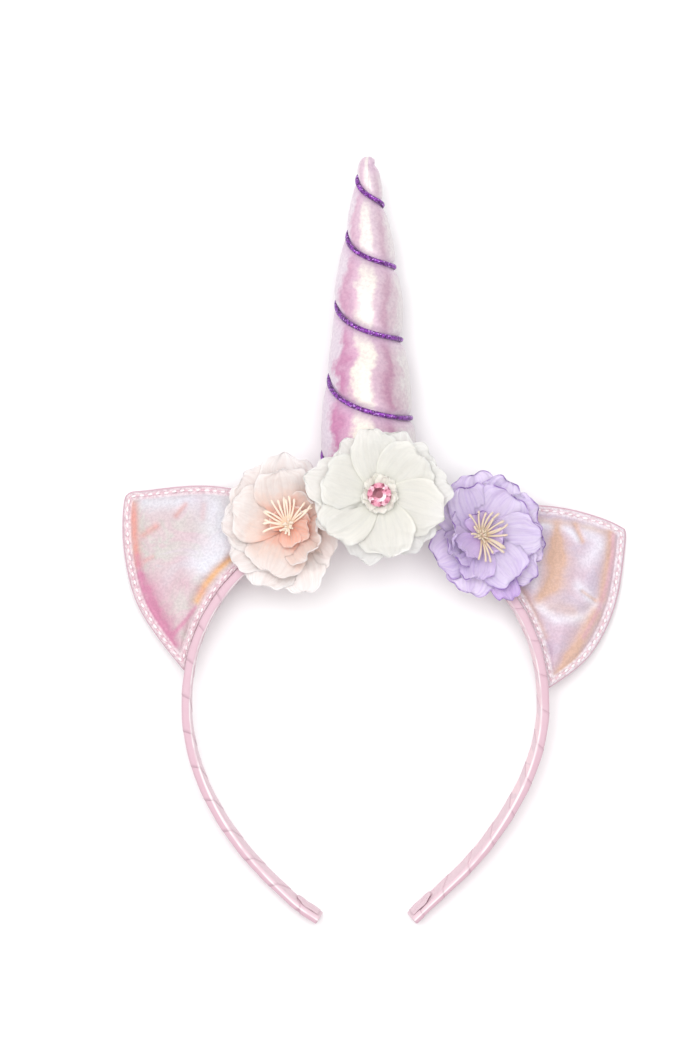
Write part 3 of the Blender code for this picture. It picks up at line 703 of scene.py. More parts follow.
def make_horn():
    low, high = HORN_PROFILE[0][0], HORN_PROFILE[-1][0]
    spread = [(0.0, low), (0.03, low + 3.0), (0.93, high - 5.0), (0.98, high - 1.2), (1.0, high)]
    height = along(spread, np.linspace(0, 1, HORN_RINGS))[:, None]
    angle = np.radians(np.arange(HORN_ROUND) * 360 / HORN_ROUND)[None, :]
    height, angle = np.broadcast_arrays(height, angle)
    radius, near = horn_radius(angle, height)
    plain = along(HORN_PROFILE, height)
    ease = np.clip(np.minimum((height - low) / 3.0, (high - height) / 3.0), 0, 1)
    radius = plain + (radius - plain) * ease
    fine = -horn_folds(angle, height, plain)
    for k, (size, strength) in enumerate(((9.0, 0.30), (3.2, 0.10))):
        fine += strength * wobble(radius * np.sin(angle), height * 0.7, radius * np.cos(angle), size, 3.1 * k)
    radius = radius + fine * ease * np.minimum(1, plain / 8.0)
    points = on_horn(radius, angle, height).reshape(-1, 3)
    ends = on_horn(np.zeros(2), 0.0, np.array([low, high])) + [(0, 0, 0), (0, 0.15, 0)]
    foot, tip, last = len(points), len(points) + 1, len(points) - HORN_ROUND
    faces = grid_faces(HORN_RINGS, HORN_ROUND, wrap=True)
    for j in range(HORN_ROUND):
        k = (j + 1) % HORN_ROUND
        faces += [(k, j, foot), (last + j, last + k, tip)]
    made = piece("horn_cloth", np.vstack([points, ends]), faces, LAME, "horn_cloth")
    mark(made, "side", np.append(np.sin(angle), [0, 0]))
    mark(made, "up", np.append(height / high, [0, 1]))
    # Painted shade by the cord, where the painted sheen and highlight fade, and under it
    mark(made, "painted_shade_by_cord", np.append(bell(near, 2.4), [0, 0]))
    mark(made, "painted_shade_under_cord", np.append(bell(near + 2.0, 2.6), [0, 0]))
    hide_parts("horn")


def tube(path, radius, sides):
    """Points and faces of a closed tube along a path, with a frame carried along it."""
    run = directions(path)
    normal = np.zeros_like(path)
    first = np.cross(run[0], (0.31, 0.52, 0.79))
    normal[0] = first / np.linalg.norm(first)
    for i in range(1, len(path)):
        carried = normal[i - 1] - run[i] * np.dot(normal[i - 1], run[i])
        normal[i] = carried / np.linalg.norm(carried)
    side = np.cross(run, normal)
    radius = np.broadcast_to(radius, len(path))
    turns = np.arange(sides) * 2 * math.pi / sides
    ring = normal[:, None, :] * np.cos(turns)[None, :, None] + side[:, None, :] * np.sin(turns)[None, :, None]
    points = (path[:, None, :] + ring * radius[:, None, None]).reshape(-1, 3)
    ends = [tuple(range(sides))[::-1], tuple((len(path) - 1) * sides + k for k in range(sides))]
    return points, grid_faces(len(path), sides, wrap=True) + ends


def joined(parts):
    """Points and faces of several meshes as one."""
    points, faces, start = [], [], 0
    for some, those in parts:
        points.append(some)
        faces += [tuple(k + start for k in f) for f in those]
        start += len(some)
    return np.vstack(points), faces


def cord_path(count):
    turns = np.linspace(CORD_START, CORD_END, count)
    height = cord_height(turns)
    plain = along(HORN_PROFILE, height)
    size = np.minimum(1.0, plain / 6.0) ** 0.4
    radius = plain - (GROOVE_DEPTH + 0.45 * BULGE) * size + CORD_RADIUS + CORD_OFF
    sunk = 2.2 * smooth_step((turns - CORD_END + 0.12) / 0.12)
    return on_horn(radius - sunk, cord_angle(turns), height)


def make_cord():
    """A braid of bright strands round a dark core."""
    path = cord_path(2400)
    at = distances(path)
    want = np.linspace(0, at[-1], int(at[-1] / BRAID_STEP))
    path = walked(path, at, want)
    run = directions(path)
    off = path - np.stack([np.full(len(path), HORN_X), path[:, 1], -HORN_LEAN * path[:, 1]], axis=1)
    off -= run * np.sum(off * run, axis=1, keepdims=True)
    off /= np.linalg.norm(off, axis=1, keepdims=True)
    side = np.cross(run, off)
    strands = []
    for k in range(STRANDS):
        turn = 2 * math.pi * (want / STRAND_TWIST + k / STRANDS)[:, None]
        strands.append(tube(path + STRAND_OUT * (off * np.cos(turn) + side * np.sin(turn)), STRAND_RADIUS, 6))
    made = piece("horn_cord_braid", *joined(strands), CORD, "cord")
    piece("horn_cord_core", *tube(path[::4], CORE_RADIUS, 8), CORD_DARK, "cord")
    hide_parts("horn_cord")


def lame_cloth():
    """Iridescent cloth with painted sheen: its colour turns from pink through a painted ivory highlight to
    mauve across the horn.
    """
    made = Surface("iridescent_cloth", 0.42, Metallic=0.12, Sheen_Weight=0.15, Specular_IOR_Level=0.55)
    grain = made.noise(900.0, 3.0, 0.65)
    across = made.math("MULTIPLY_ADD", made.read("side"), 0.5, 0.5)
    for patches, strength in ((made.noise(60.0, 3.0, 0.55, 0.6), 0.42), (made.noise(330.0, 2.0, 0.6), 0.12)):
        across = made.math("MULTIPLY_ADD", made.math("SUBTRACT", patches, 0.5), strength, across)
    tone = made.ramp(across, HORN_SHEEN_TONES)
    tone = made.tint(tone, (0.78, 0.70, 0.73), made.math("SUBTRACT", made.read("up"), 0.35), 0.9)
    # Painted shade in the grooves by the cord and under it
    tone = made.tint(tone, (0.66, 0.50, 0.61), made.read("painted_shade_by_cord"), 0.7)
    tone = made.tint(tone, (0.62, 0.40, 0.56), made.read("painted_shade_under_cord"), 0.35)
    tone = made.mix(0.6, tone, made.ramp(grain, [(0.36, (0.80, 0.76, 0.82)), (0.62, 1.0)]), "MULTIPLY")
    return made.finished(tone, made.math("ADD", grain, made.weave(0.4)), 0.4, 0.09)


def metallic_thread(name, tone, painted_glint, roughness):
    """Metallic thread: painted shade in dark gaps and painted glints as bright specks."""
    made = Surface(name, roughness, Metallic=0.6, Sheen_Weight=0.25)
    sparkle = made.noise(1500.0, 1.0)
    # Bright specks of painted glint
    mask = made.ramp(sparkle, [(0.57, 0.0), (0.70, 1.0)])
    shadow = made.ramp(made.noise(1100.0, 1.0), [(0.40, 0.35), (0.56, 1.0)])
    tone = made.mix(mask, made.mix(1.0, shadow, tone, "MULTIPLY"), painted_glint)
    return made.finished(tone, sparkle, 0.4, 0.05)


def add_aimed(name, data, place, turn):
    made = add_object(name, data)
    made.location = place
    made.rotation_mode = "QUATERNION"
    made.rotation_quaternion = turn
    return made


def make_stage():
    """Pale floor, soft light from above, and the camera square to the band's plane."""
    size = 3.0
    mesh = bpy.data.meshes.new("floor")
    corners = [(-size, -size, 0), (size, -size, 0), (size, size, 0), (-size, size, 0)]
    mesh.from_pydata(corners, [], [(0, 1, 2, 3)])
    paper = Surface("pale_paper", 0.9, Specular_IOR_Level=0.1)
    paper.shader.inputs["Base Color"].default_value = (0.93, 0.93, 0.93, 1)
    mesh.materials.append(paper.material)
    add_object("floor", mesh)

    world = bpy.data.worlds.new("soft_room")
    world.use_nodes = True
    world.node_tree.nodes["Background"].inputs["Color"].default_value = (1.0, 0.99, 0.99, 1)
    world.node_tree.nodes["Background"].inputs["Strength"].default_value = WORLD_LIGHT
    bpy.context.scene.world = world
    for name, place, wide, power in LIGHTS:
        data = bpy.data.lights.new(name, "AREA")
        data.shape = "SQUARE"
        data.size = wide
        data.energy = power
        add_aimed(name, data, place, (-Vector(place)).to_track_quat("-Z", "Y"))

    data = bpy.data.cameras.new("camera")
    data.sensor_fit = "AUTO"
    data.sensor_width = 36.0
    data.lens = 36.0 * CAMERA_FAR / (PHOTO_HIGH * PIXEL)
    data.clip_end = 20
    middle = ((PHOTO_WIDE / 2 - CROWN_PIXEL[0]) * PIXEL, (CROWN_PIXEL[1] - PHOTO_HIGH / 2) * PIXEL)
    scene = bpy.context.scene
    scene.camera = add_aimed("camera", data, lay([(*middle, CAMERA_FAR)])[0], WORN.to_quaternion())
    scene.view_settings.view_transform = "Standard"


def behind(points, lean):
    """How far an ear lies behind the hoop's plane: it leans back away from the band."""
    far = np.hypot(points[..., 0], points[..., 1] + HOOP_RADIUS) - HOOP_RADIUS - BAND_THICK / 2
    return -lean * np.maximum(far, 0.0)


def ear_outline(edge):
    """The free edge, then back along the band's outer face."""
    free = spline(edge, round(EAR_POINTS * 0.66))[1:-1]
    radius = HOOP_RADIUS + BAND_THICK / 2 + EAR_TO_BAND
    turns = [math.atan2(p[1] + HOOP_RADIUS, p[0]) for p in (edge[-1], edge[0])]
    turn = np.linspace(turns[0], turns[1], EAR_POINTS - len(free))
    back = np.stack([radius * np.cos(turn), radius * np.sin(turn) - HOOP_RADIUS], axis=1)
    return np.vstack([free, back])


def distance_to(points, line, closed=True):
    """Least distance from each point to a line of points."""
    line = np.array(line, float)
    starts = line if closed else line[:-1]
    ends = np.roll(line, -1, axis=0) if closed else line[1:]
    run = ends - starts
    off = points[:, None, :] - starts[None]
    share = np.clip(np.sum(off * run, axis=2) / np.maximum(np.sum(run * run, axis=1), 1e-9), 0, 1)
    return np.linalg.norm(off - run * share[..., None], axis=2).min(axis=1)


def shrunk(outline, middle, share):
    return middle + (outline - middle) * share


def inset(outline, middle, by):
    """The line at a set distance inside the outline, found along rays to the middle."""
    low, high = np.zeros(len(outline)), np.full(len(outline), 0.97)
    for _ in range(18):
        share = (low + high) / 2
        short = distance_to(shrunk(middle, outline, share[:, None]), outline) < by
        low, high = np.where(short, share, low), np.where(short, high, share)
    return shrunk(middle, outline, high[:, None])


def stacked(rows):
    """Flat points and heights of rings, from one row of points and height a ring."""
    flat = np.vstack([ring for ring, _ in rows])
    return flat, np.concatenate([np.broadcast_to(height, len(ring)) for ring, height in rows])


def ring_mesh(flat, heights):
    """A closed skin over an ear's rings, from a top middle point to a bottom one."""
    points = np.column_stack([flat, heights])
    top, bottom, last = len(points), len(points) + 1, len(points) - EAR_POINTS
    faces = grid_faces(top // EAR_POINTS, EAR_POINTS, wrap=True)
    for j in range(EAR_POINTS):
        k = (j + 1) % EAR_POINTS
        faces += [(top, k, j), (bottom, last + j, last + k)]
    return np.vstack([points, points[:EAR_POINTS].mean(axis=0), points[last:].mean(axis=0)]), faces


def ear_relief(side, flat, outline, middle, seam):
    """Creases, small puckers that start at the seam, and soft waves of an ear's front."""
    depth = distance_to(flat, outline)
    inner = smooth_step((depth - EAR_TRIM) / 1.6)
    lift = np.zeros(len(flat))
    for line, half, deep in EAR_CREASES[side]:
        off = distance_to(flat, line, closed=False)
        lift -= deep * inner * (bell(off, half) - 0.35 * bell(off - 2.1 * half, half))
    rng = random.Random(EAR_SEEDS[side])
    for _ in range(64):
        k = rng.randrange(len(seam))
        inward = (middle - seam[k]) / np.linalg.norm(middle - seam[k])
        swing = rng.uniform(-0.7, 0.7)
        turned = np.array([inward[0] - swing * inward[1], inward[1] + swing * inward[0]])
        start = seam[k] - turned * rng.uniform(0.2, 1.6)
        off = distance_to(flat, [start, start + turned * rng.uniform(2.0, 6.5)], closed=False)
        lift += rng.uniform(-0.34, 0.2) * bell(off, rng.uniform(0.45, 0.9))
    waves = 0.45 * wobble(*flat.T, 0, 8.0, 2.0) + 0.16 * wobble(*flat.T, 0, 3.1, 5.0)
    return lift + waves * smooth_step(depth / 2.0)


def make_ear_front(side, outline, middle, lean):
    """The padded front: a crowned pad, the border with the stitches' valley, and a flat underside."""
    seam = inset(outline, middle, EAR_TRIM)
    rows = []
    for share in np.linspace(0.03, 1.0, 44) ** 0.9:
        rows.append((shrunk(seam, middle, share), EAR_BASE + 0.95 + EAR_PUFF * (1 - share ** 2.6) ** 0.7))
    for by in (2.7, 2.4, 2.1, 1.85, 1.6, 1.35, 1.1, 0.9, 0.65, 0.4, 0.2, 0.08):
        edge_fall = 1 - (1 - min(1.0, by / 0.8)) ** 2
        valley = 0.42 * bell(by - STITCH_LINE, 0.45)
        rows.append((inset(outline, middle, by), EAR_BASE + (1.05 - valley) * edge_fall))
    top = len(rows) * EAR_POINTS
    under = inset(outline, middle, 1.2)
    rings = [inset(outline, middle, 0.1), under] + [shrunk(under, middle, share) for share in (0.6, 0.15)]
    flat, heights = stacked(rows + [(ring, EAR_BASE) for ring in rings])
    heights[:top] += ear_relief(side, flat[:top], outline, middle, seam)
    points, faces = ring_mesh(flat, heights + behind(flat, lean))
    front = piece(f"ear_front_{side}", points, faces, EAR_CLOTH[side], "panel_cloth")
    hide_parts("ear_panel_" + side)
    # Streaks of painted sheen
    for name, streaks in EAR_STREAKS[side].items():
        shown = [strength * np.exp(-((distance_to(points[:, :2], line, closed=False) / half / 1.15) ** 1.8))
                 for line, half, strength in streaks]
        mark(front, name, np.clip(np.sum(shown, axis=0), 0, 1))
    rim_depth = distance_to(points[:, :2], outline)
    mark(front, "border", smooth_step((EAR_TRIM + 0.2 - rim_depth) / 0.9))
    mark(front, "seam", bell(rim_depth - STITCH_LINE, 0.4))


def outside(outline, middle, by):
    """The line at a set distance outside the outline, kept off the band."""
    away = outline - middle
    ring = outline + away / np.linalg.norm(away, axis=1, keepdims=True) * by
    radial = np.hypot(ring[:, 0], ring[:, 1] + HOOP_RADIUS)
    push = np.maximum(1.0, (HOOP_RADIUS + BAND_THICK / 2 + EAR_TO_BAND - 0.05) / radial)
    return np.column_stack([ring[:, 0] * push, (ring[:, 1] + HOOP_RADIUS) * push - HOOP_RADIUS])


def make_ear_back(side, outline, middle, lean):
    """The satin back, whose rim shows as a thin darker edge."""
    floor = EAR_BACK_AT + 0.05
    rows = [(shrunk(outline, middle, share), EAR_BASE - 0.1) for share in (0.05, 0.3, 0.6, 0.85)]
    rows.append((inset(outline, middle, 0.35), EAR_BASE - 0.02))
    for by, height in ((0.0, 0.10), (0.32, -0.12), (0.42, -0.5), (0.32, -0.85)):
        rows.append((outside(outline, middle, by), EAR_BASE + height))
    for by, height in ((0.1, 0.35), (1.1, 0.2), (2.2, 0.34), (3.0, 0.5), (3.6, 0.32)):
        rows.append((inset(outline, middle, by), floor + height))
    inner_ring = rows[-1][0]
    for share in np.linspace(0.92, 0.04, 14):
        ring = shrunk(inner_ring, middle, share)
        rows.append((ring, floor + 0.2 + wobble(*ring.T, 1, 9.0, 7.0) * 0.14))
    flat, heights = stacked(rows)
    points, faces = ring_mesh(flat, heights + behind(flat, lean))
    back = piece(f"ear_back_{side}", points, faces, SATIN, "ribbon")
    mark(back, "shade", np.clip(0.75 + 0.2 * (points[:, 2] - behind(points, lean) > floor + 1), 0, 1))
    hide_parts("ear_backing_" + side)


def make_stitches(side, outline, middle, lean):
    """One thread all round the border, white where it lies on top and pink where it dips into the cloth."""
    line = inset(outline, middle, STITCH_LINE)
    line = np.vstack([line, line[:1]])
    at = distances(line)
    count = round(at[-1] / STITCH_PITCH)
    rng = random.Random(21)
    steps = 14
    share = np.arange(count * steps + 1) / steps
    place = walked(line, at, share / count * at[-1])
    run = directions(place)
    whole = np.minimum(share.astype(int), count - 1)
    longs = np.array([rng.uniform(0.52, 0.68) for _ in range(count)])[whole]
    offs = np.array([rng.uniform(-0.16, 0.16) for _ in range(count)])[whole]
    phase = (share - whole) / longs
    bump = np.where(phase < 1, np.sin(np.clip(phase, 0, 1) * math.pi) ** 0.45, 0.0)
    sway = offs * bump + 0.2 * bump * (phase - 0.5)
    place = place + np.stack([-run[:, 1], run[:, 0]], axis=1) * sway[:, None]
    height = EAR_BASE + 0.46 + 0.62 * bump + behind(place, lean)
    points, faces = tube(np.column_stack([place, height]), STITCH_RADIUS * (0.50 + 0.50 * bump), 8)
    made = piece(f"ear_stitches_{side}", points, faces, STITCH, "ribbon")
    mark(made, "dip", np.repeat(1 - bump, 8))


def make_ear(side):
    outline, middle = ear_outline(EAR_EDGES[side]), np.array(EAR_MIDDLES[side])
    for make in (make_ear_front, make_ear_back, make_stitches):
        make(side, outline, middle, EAR_LEANS[side])


def ear_cloth(side, pale, shades, border):
    """Iridescent cloth: pale lilac, with streaks of painted sheen where it turns from the light."""
    made = Surface(f"iridescent_ear_{side}", 0.52, Sheen_Weight=0.1, Specular_IOR_Level=0.4)
    grain, fine = made.noise(1100.0, 2.0, 0.7), made.noise(260.0, 3.0, 0.6)
    patches = made.noise(75.0, 3.0, 0.6, 0.8)
    tone = made.ramp(patches, [(0.30, pale[0]), (0.46, pale[1]), (0.60, pale[2]), (0.72, pale[0])])
    jitter = made.math("MULTIPLY_ADD", fine, 0.9, 0.55)
    for name, shade in shades.items():
        tone = made.tint(tone, shade, made.read(name), jitter)
    fuzz = made.ramp(made.noise(700.0, 2.0), [(0.40, border[0]), (0.58, border[1])])
    tone = made.tint(tone, fuzz, made.read("border"), 0.85)
    tone = made.tint(tone, (0.66, 0.38, 0.46), made.read("seam"), 0.5)
    tone = made.mix(0.6, tone, made.ramp(grain, [(0.38, (0.80, 0.79, 0.81)), (0.62, 1.0)]), "MULTIPLY")
    return made.finished(tone, made.math("ADD", grain, fine), 0.4, 0.1)


def flower_seat(flower):
    """Height of the underside of the flower's lowest layer at its middle."""
    points = unlay([v.co for v in frame["nodes"][flower + "_petals_outer"].data.vertices])
    off = points[:, :2] - np.array(FLOWERS[flower][0])
    return points[np.hypot(off[:, 0], off[:, 1]) < 0.4, 2].min()


def flower_place(flower, points):
    """From a flower's own flat plane to the worn frame. Its lower side droops past the horn's foot."""
    (cx, cy), lean, droop = FLOWERS[flower]
    x, y, z = points.T
    sag = droop * np.maximum(0.0, -y - 4.0) ** 2
    return np.column_stack([cx + x, cy + y, SEATS[flower] + lean[0] * x + lean[1] * y - sag + z])


def petal(row, rise, cup, reach_of_layer, ruffle, rng):
    """One petal: points, faces, marks and flat area. It is widest past its middle, and its rim is ruffled."""
    turn, reach, half, bend, tone = row
    t = np.linspace(0, 1, PETAL_GRID[0])[:, None]
    v = np.linspace(-1, 1, PETAL_GRID[1])[None, :]
    x = reach * (0.04 + 0.96 * np.sin(t * math.pi / 2) ** 0.92)
    widest = 0.62 * reach
    end = np.clip((x - widest) / (reach - widest), 0, 1)
    tapered = 0.26 + 0.74 * np.sin(np.minimum(x / widest, 1) * math.pi / 2) ** 1.2
    wide = np.where(x > widest, np.maximum(1 - end ** 2.3, 0.004) ** (1 / 2.1), tapered)
    x, v, wide, end = np.broadcast_arrays(x, v, wide, end)
    area = float(np.sum(np.diff(x[:, 0]) * (wide[1:, 0] + wide[:-1, 0])) * half)
    rim = np.maximum(end, np.abs(v) * smooth_step(x / reach * 1.6))
    rim = np.clip((rim ** 6 + (end * np.abs(v)) ** 3) ** (1 / 3), 0, 1)
    around = np.arctan2(v * wide, end + 0.15)
    phases = [rng.uniform(0, 6.28) for _ in range(7)]

    def waves(wave, at, terms):
        return sum(size * wave(count * at + phases[k]) for size, count, k in terms)

    notches = waves(np.sin, around, ((0.030, 4, 0), (0.022, 9, 1), (0.006, 19, 5)))
    notch = 1 + smooth_step(x / reach) ** 2 * notches
    out = x * notch
    y = v * wide * half * notch
    share = np.clip(x / reach, 0, 1)
    lift = ruffle * rim ** 1.5 * waves(np.sin, around, ((0.50, 4, 2), (0.34, 8, 3), (0.07, 17, 6)))
    lift = lift - 0.40 * bell(y, 1.2) * np.sin(share * math.pi)
    pleats = waves(np.cos, v, ((0.34, 5.2, 4), (0.24, 12.0, 0), (0.12, 23.0, 1)))
    lift = lift + ruffle * share * (1 - 0.5 * rim) * pleats
    lift = lift + 0.8 * v * smooth_step(share * 2.2)
    seed = rng.uniform(0, 50)
    soft = wobble(out, y, 0.0, 5.0, seed) + 0.30 * wobble(out * 0.5, y, 3.0, 1.5, seed)
    lift = lift + 0.5 * ruffle * soft * (0.4 + 0.6 * rim)
    # The outer part bends up, or down, along an arc.
    bend = bend if abs(bend) > 0.01 else 0.01
    start = reach * (0.55 if abs(bend) < 1 else 0.40)
    curve = bend / (reach - start)
    past = np.maximum(out - start, 0)
    flat_x = np.where(past > 0, start + np.sin(curve * past) / curve, out) - lift * np.sin(curve * past)
    bent = (1 - np.cos(curve * past)) / curve + lift * np.cos(curve * past)
    z = rise + cup * (np.minimum(out, reach_of_layer) / reach_of_layer) ** 1.7 + bent
    c, s = math.cos(math.radians(turn)), math.sin(math.radians(turn))
    points = np.stack([flat_x * c - y * s, flat_x * s + y * c, z], axis=-1).reshape(-1, 3)
    marks = {"far": np.clip(out / 25.0, 0, 1), "rim": rim, "tone": np.full(rim.shape, tone),
             "across": v * 0.5 + 0.5}
    return points, grid_faces(*PETAL_GRID), marks, area


def make_flower(flower):
    rng = random.Random(FLOWER_SEEDS[flower])
    for layer, name in enumerate(("outer", "middle", "inner")):
        rise, cup, reach = CUPS[flower][layer]
        ruffle = RUFFLE[flower] * (1, 1, 0.7)[layer]
        made_of, marks, area = [], [], 0.0
        for row in PETALS[flower][layer]:
            points, faces, found, one = petal(row, rise + 0.3, cup * PETAL_FLAT[flower], reach, ruffle, rng)
            made_of.append((flower_place(flower, points), faces))
            marks.append(found)
            area += one
        points, faces = joined(made_of)
        made = piece(f"{flower}_cloth_petals_{name}", points, faces, PETAL_CLOTH[flower], "petal_" + flower)
        for key in marks[0]:
            mark(made, key, np.concatenate([found[key] for found in marks]))
        thicken(made, PETAL_THICK)
        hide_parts(f"{flower}_petals_{name}")


def petal_cloth(flower, stops, tone, rim, vein):
    """Thin cloth: coloured from the flower's middle outwards, with faint veins and a tinted rim."""
    made = Surface(f"petal_cloth_{flower}", 0.6, Sheen_Weight=0.15, Subsurface_Weight=0.5,
                   Subsurface_Radius=(1.0, 0.95, 0.92), Subsurface_Scale=0.0012, Specular_IOR_Level=0.25)
    far, own = made.read("far"), made.read("tone")
    blotch = made.math("SUBTRACT", made.noise(160.0, 3.0, 0.6), 0.5)
    base = made.ramp(made.math("MULTIPLY_ADD", blotch, 0.35, far), stops)
    # Each petal turns towards the tone colour by its own tone: painted shade on the white flower, the cloth's
    # own richer colour on the peach and lavender.
    base = made.tint(base, tone, own, 0.8)
    lines = made.node("CombineXYZ", {"X": made.math("MULTIPLY", made.read("across"), 16.0),
                                     "Y": made.math("MULTIPLY", far, 1.8),
                                     "Z": made.math("MULTIPLY", own, 9.0)})
    veins = made.noise(1.0, 3.0, 0.6, vector=lines.outputs["Vector"])
    base = made.tint(base, vein[0], made.ramp(veins, [(0.42, 0.0), (0.66, 1.0)]), vein[1])
    broken = made.ramp(made.noise(220.0, 2.0), [(0.40, 0.25), (0.60, 1.0)])
    edge = made.math("MULTIPLY", made.math("POWER", made.read("rim"), rim[2]), rim[1])
    base = made.tint(base, rim[0], edge, broken)
    threads = made.noise(1300.0, 2.0)
    return made.finished(made.tint(base, tone, threads, 0.08), made.math("ADD", threads, veins), 0.5, 0.16)


def flower_thread(flower, away, turns, height, thick, sides):
    """Points and faces of one thread, from its distances, directions and heights on the flower."""
    points, faces = tube(np.stack([away * np.cos(turns), away * np.sin(turns), height], axis=1), thick, sides)
    return flower_place(flower, points), faces


def make_stamens(flower):
    """Loose threads fanned out from the flower's middle, with a blunt end each, and a knot at their foot."""
    rng = random.Random(31 + len(flower))
    rise = CUPS[flower][2][0]
    threads, marks = [], []
    t = np.linspace(0, 1, 12)
    for start, end, count, shortest, longest in STAMENS[flower]:
        for k in range(count):
            turn = math.radians(start + (end - start) * (k + 0.5) / count + rng.uniform(-4, 4))
            away = 0.4 + rng.uniform(shortest, longest) * t
            turns = turn + rng.uniform(-0.2, 0.2) * t ** 2
            height = rise + 0.8 + 3.4 * np.sin(t * math.pi * 0.55) + rng.uniform(-0.3, 1.1) * t
            thick = STAMEN_RADIUS * (1 + 0.12 * np.cos(t * 9 + k) + 0.35 * smooth_step((t - 0.8) / 0.12))
            thick[-1] *= 0.6
            threads.append(flower_thread(flower, away, turns, height, thick, 8))
            marks.append(np.repeat(t, 8))
    t = np.linspace(0, 1, 6)
    for _ in range(KNOT_THREADS):
        turn, away = rng.uniform(0, 6.28), rng.uniform(0.8, 2.6) * t
        height = rise + 0.9 + (2.7 + rng.uniform(0, 1.4)) * t
        threads.append(flower_thread(flower, away, turn, height, np.linspace(0.42, 0.34, 6), 7))
        marks.append(np.repeat(0.2 + t * 0.5, 7))
    made = piece(f"{flower}_stamen_threads", *joined(threads), STAMEN_THREAD[flower], "stamen_" + flower)
    mark(made, "along", np.concatenate(marks))
    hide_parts(flower + "_stamens")


def stamen_thread(flower, foot, tip):
    made = Surface(f"stamen_thread_{flower}", 0.5, Sheen_Weight=0.3, Subsurface_Weight=0.1,
                   Subsurface_Scale=0.001)
    fine = made.noise(900.0, 2.0)
    tone = made.ramp(made.read("along"), [(0.0, foot), (0.55, tip), (1.0, tip)])
    return made.finished(made.tint(tone, foot, fine, 0.3), fine, 0.3, 0.05)


def make_gem():
    """A round cut stone: girdle, two rows of facets and a table, in a thin foil cup."""
    rise, cup, reach = CUPS["white"][2]
    top = rise + cup * (3.9 / reach) ** 1.7 + 1.0 + 0.35
    sides = len(GEM_TABLE_REFLECTIONS)
    rows = ((3.3, -0.5, 0.0), (GEM_RADIUS, 0.35, 0.0), (GEM_RADIUS, 0.6, 0.0),
            (3.5, 1.4, 0.5), (2.5, 1.95, 0.0), (1.3, 2.1, 0.5))
    points, faces, painted_facet_reflections = [], [], []
    for radius, z, turn in rows:
        for k in range(sides):
            angle = 2 * math.pi * (k + turn) / sides
            points.append((radius * math.cos(angle), radius * math.sin(angle), top + z))
    for i in range(sides):
        j = (i + 1) % sides
        a, b, c, d, e, f = (row * sides for row in range(6))
        ring = GEM_GLINTS[i % len(GEM_GLINTS)]
        inner = GEM_TABLE_REFLECTIONS[i]
        faces += [(a + i, a + j, b + j, b + i), (b + i, b + j, c + j, c + i), (c + i, c + j, d + i),
                  (d + i, c + j, d + j), (d + i, d + j, e + j), (d + i, e + j, e + i),
                  (e + i, e + j, f + i), (f + i, e + j, f + j)]
        # Painted reflections, one for each facet
        painted_facet_reflections += [0.5, 0.5, ring, 1.15 - ring, 0.85 - 0.5 * ring, ring, inner, inner * 0.8 + 0.08]
    faces += [tuple(range(sides))[::-1], tuple(5 * sides + k for k in range(sides))]
    painted_facet_reflections += [0.5, 0.3]
    points = flower_place("white", np.array(points))
    made = piece("white_flower_cut_gem", points, faces, GEM, "gem", smooth=False)
    mark(made, "painted_glint", np.clip(painted_facet_reflections, 0, 1), "FACE")
    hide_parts("white_flower_gem")


def gem_material():
    """Pink foil-backed acrylic: each facet is painted with its own reflection, a share of dark, pink and
    white.
    """
    made = Surface("pink_stone", 0.18, Coat_Weight=0.04, Coat_Roughness=0.05, Specular_IOR_Level=0.12)
    tone = made.ramp(made.read("painted_glint"), [
        (0.0, (0.08, 0.02, 0.03)), (0.3, (0.27, 0.08, 0.11)), (0.55, (0.72, 0.27, 0.38)),
        (0.8, (0.82, 0.52, 0.60)), (1.0, (0.90, 0.86, 0.87))], "LINEAR")
    return made.finished(made.tint(tone, (0.74, 0.34, 0.44), made.noise(300.0, 1.0), 0.06))


def band_sheet(name, points, faces, sign, shade):
    """A piece of satin on the band. Its faces are turned over at the left tip, where sign is 1."""
    made = piece(name, points, [f[::-1] for f in faces] if sign > 0 else faces, SATIN, "ribbon")
    mark(made, "shade", shade)
    return made


def make_tip_fold(side, sign, start, long, slant):
    """Ribbon folded over one tip of the band, with a slanting end."""
    shares = np.arange(96) / 96
    rows = []
    for depth, scale in ((-0.42, 0.02), (-0.42, 0.5), (-0.40, 0.8), (-0.30, 0.93), (-0.12, 1.0), (0.3, 1.0)):
        rows.append((np.full(96, depth), scale, 1.0))
    ends = long + slant * np.cos(2 * math.pi * (shares - 0.05)) + 0.2 * np.sin(8 * math.pi * shares)
    for step in np.linspace(0.1, 1.0, 9):
        rows.append((0.3 + (ends - 0.3) * step, 1.0, 1 - 0.3 * step ** 3))
    points, shade, bright = [], [], []
    for depth, scale, up in rows:
        at = start + sign * np.maximum(depth, 0.0)
        ring = on_band(at, shares, RIBBON_OFF + (0.02 + 2.5 * RIBBON_THICK) * up)
        centre, _, _, run, _ = band_frame(at)
        points.append(centre + (ring - centre) * scale + run * (sign * np.minimum(depth, 0.0))[:, None])
        # Painted shade on the front and outer faces and along the fold's end edge, and the painted ridge
        # highlight on the outer rows only.
        painted_shade, line = painted_shade_and_ridge_highlight(at, shares)
        shade.append(np.clip(0.8 * painted_shade + 0.9 * (up < 0.72), 0, 1))
        bright.append(line * (scale > 0.99))
    faces = grid_faces(len(rows), 96, wrap=True)
    made = band_sheet(f"tip_fold_{side}", np.vstack(points), faces, sign, np.concatenate(shade))
    mark(made, "line", np.concatenate(bright))
    thicken(made, RIBBON_THICK)


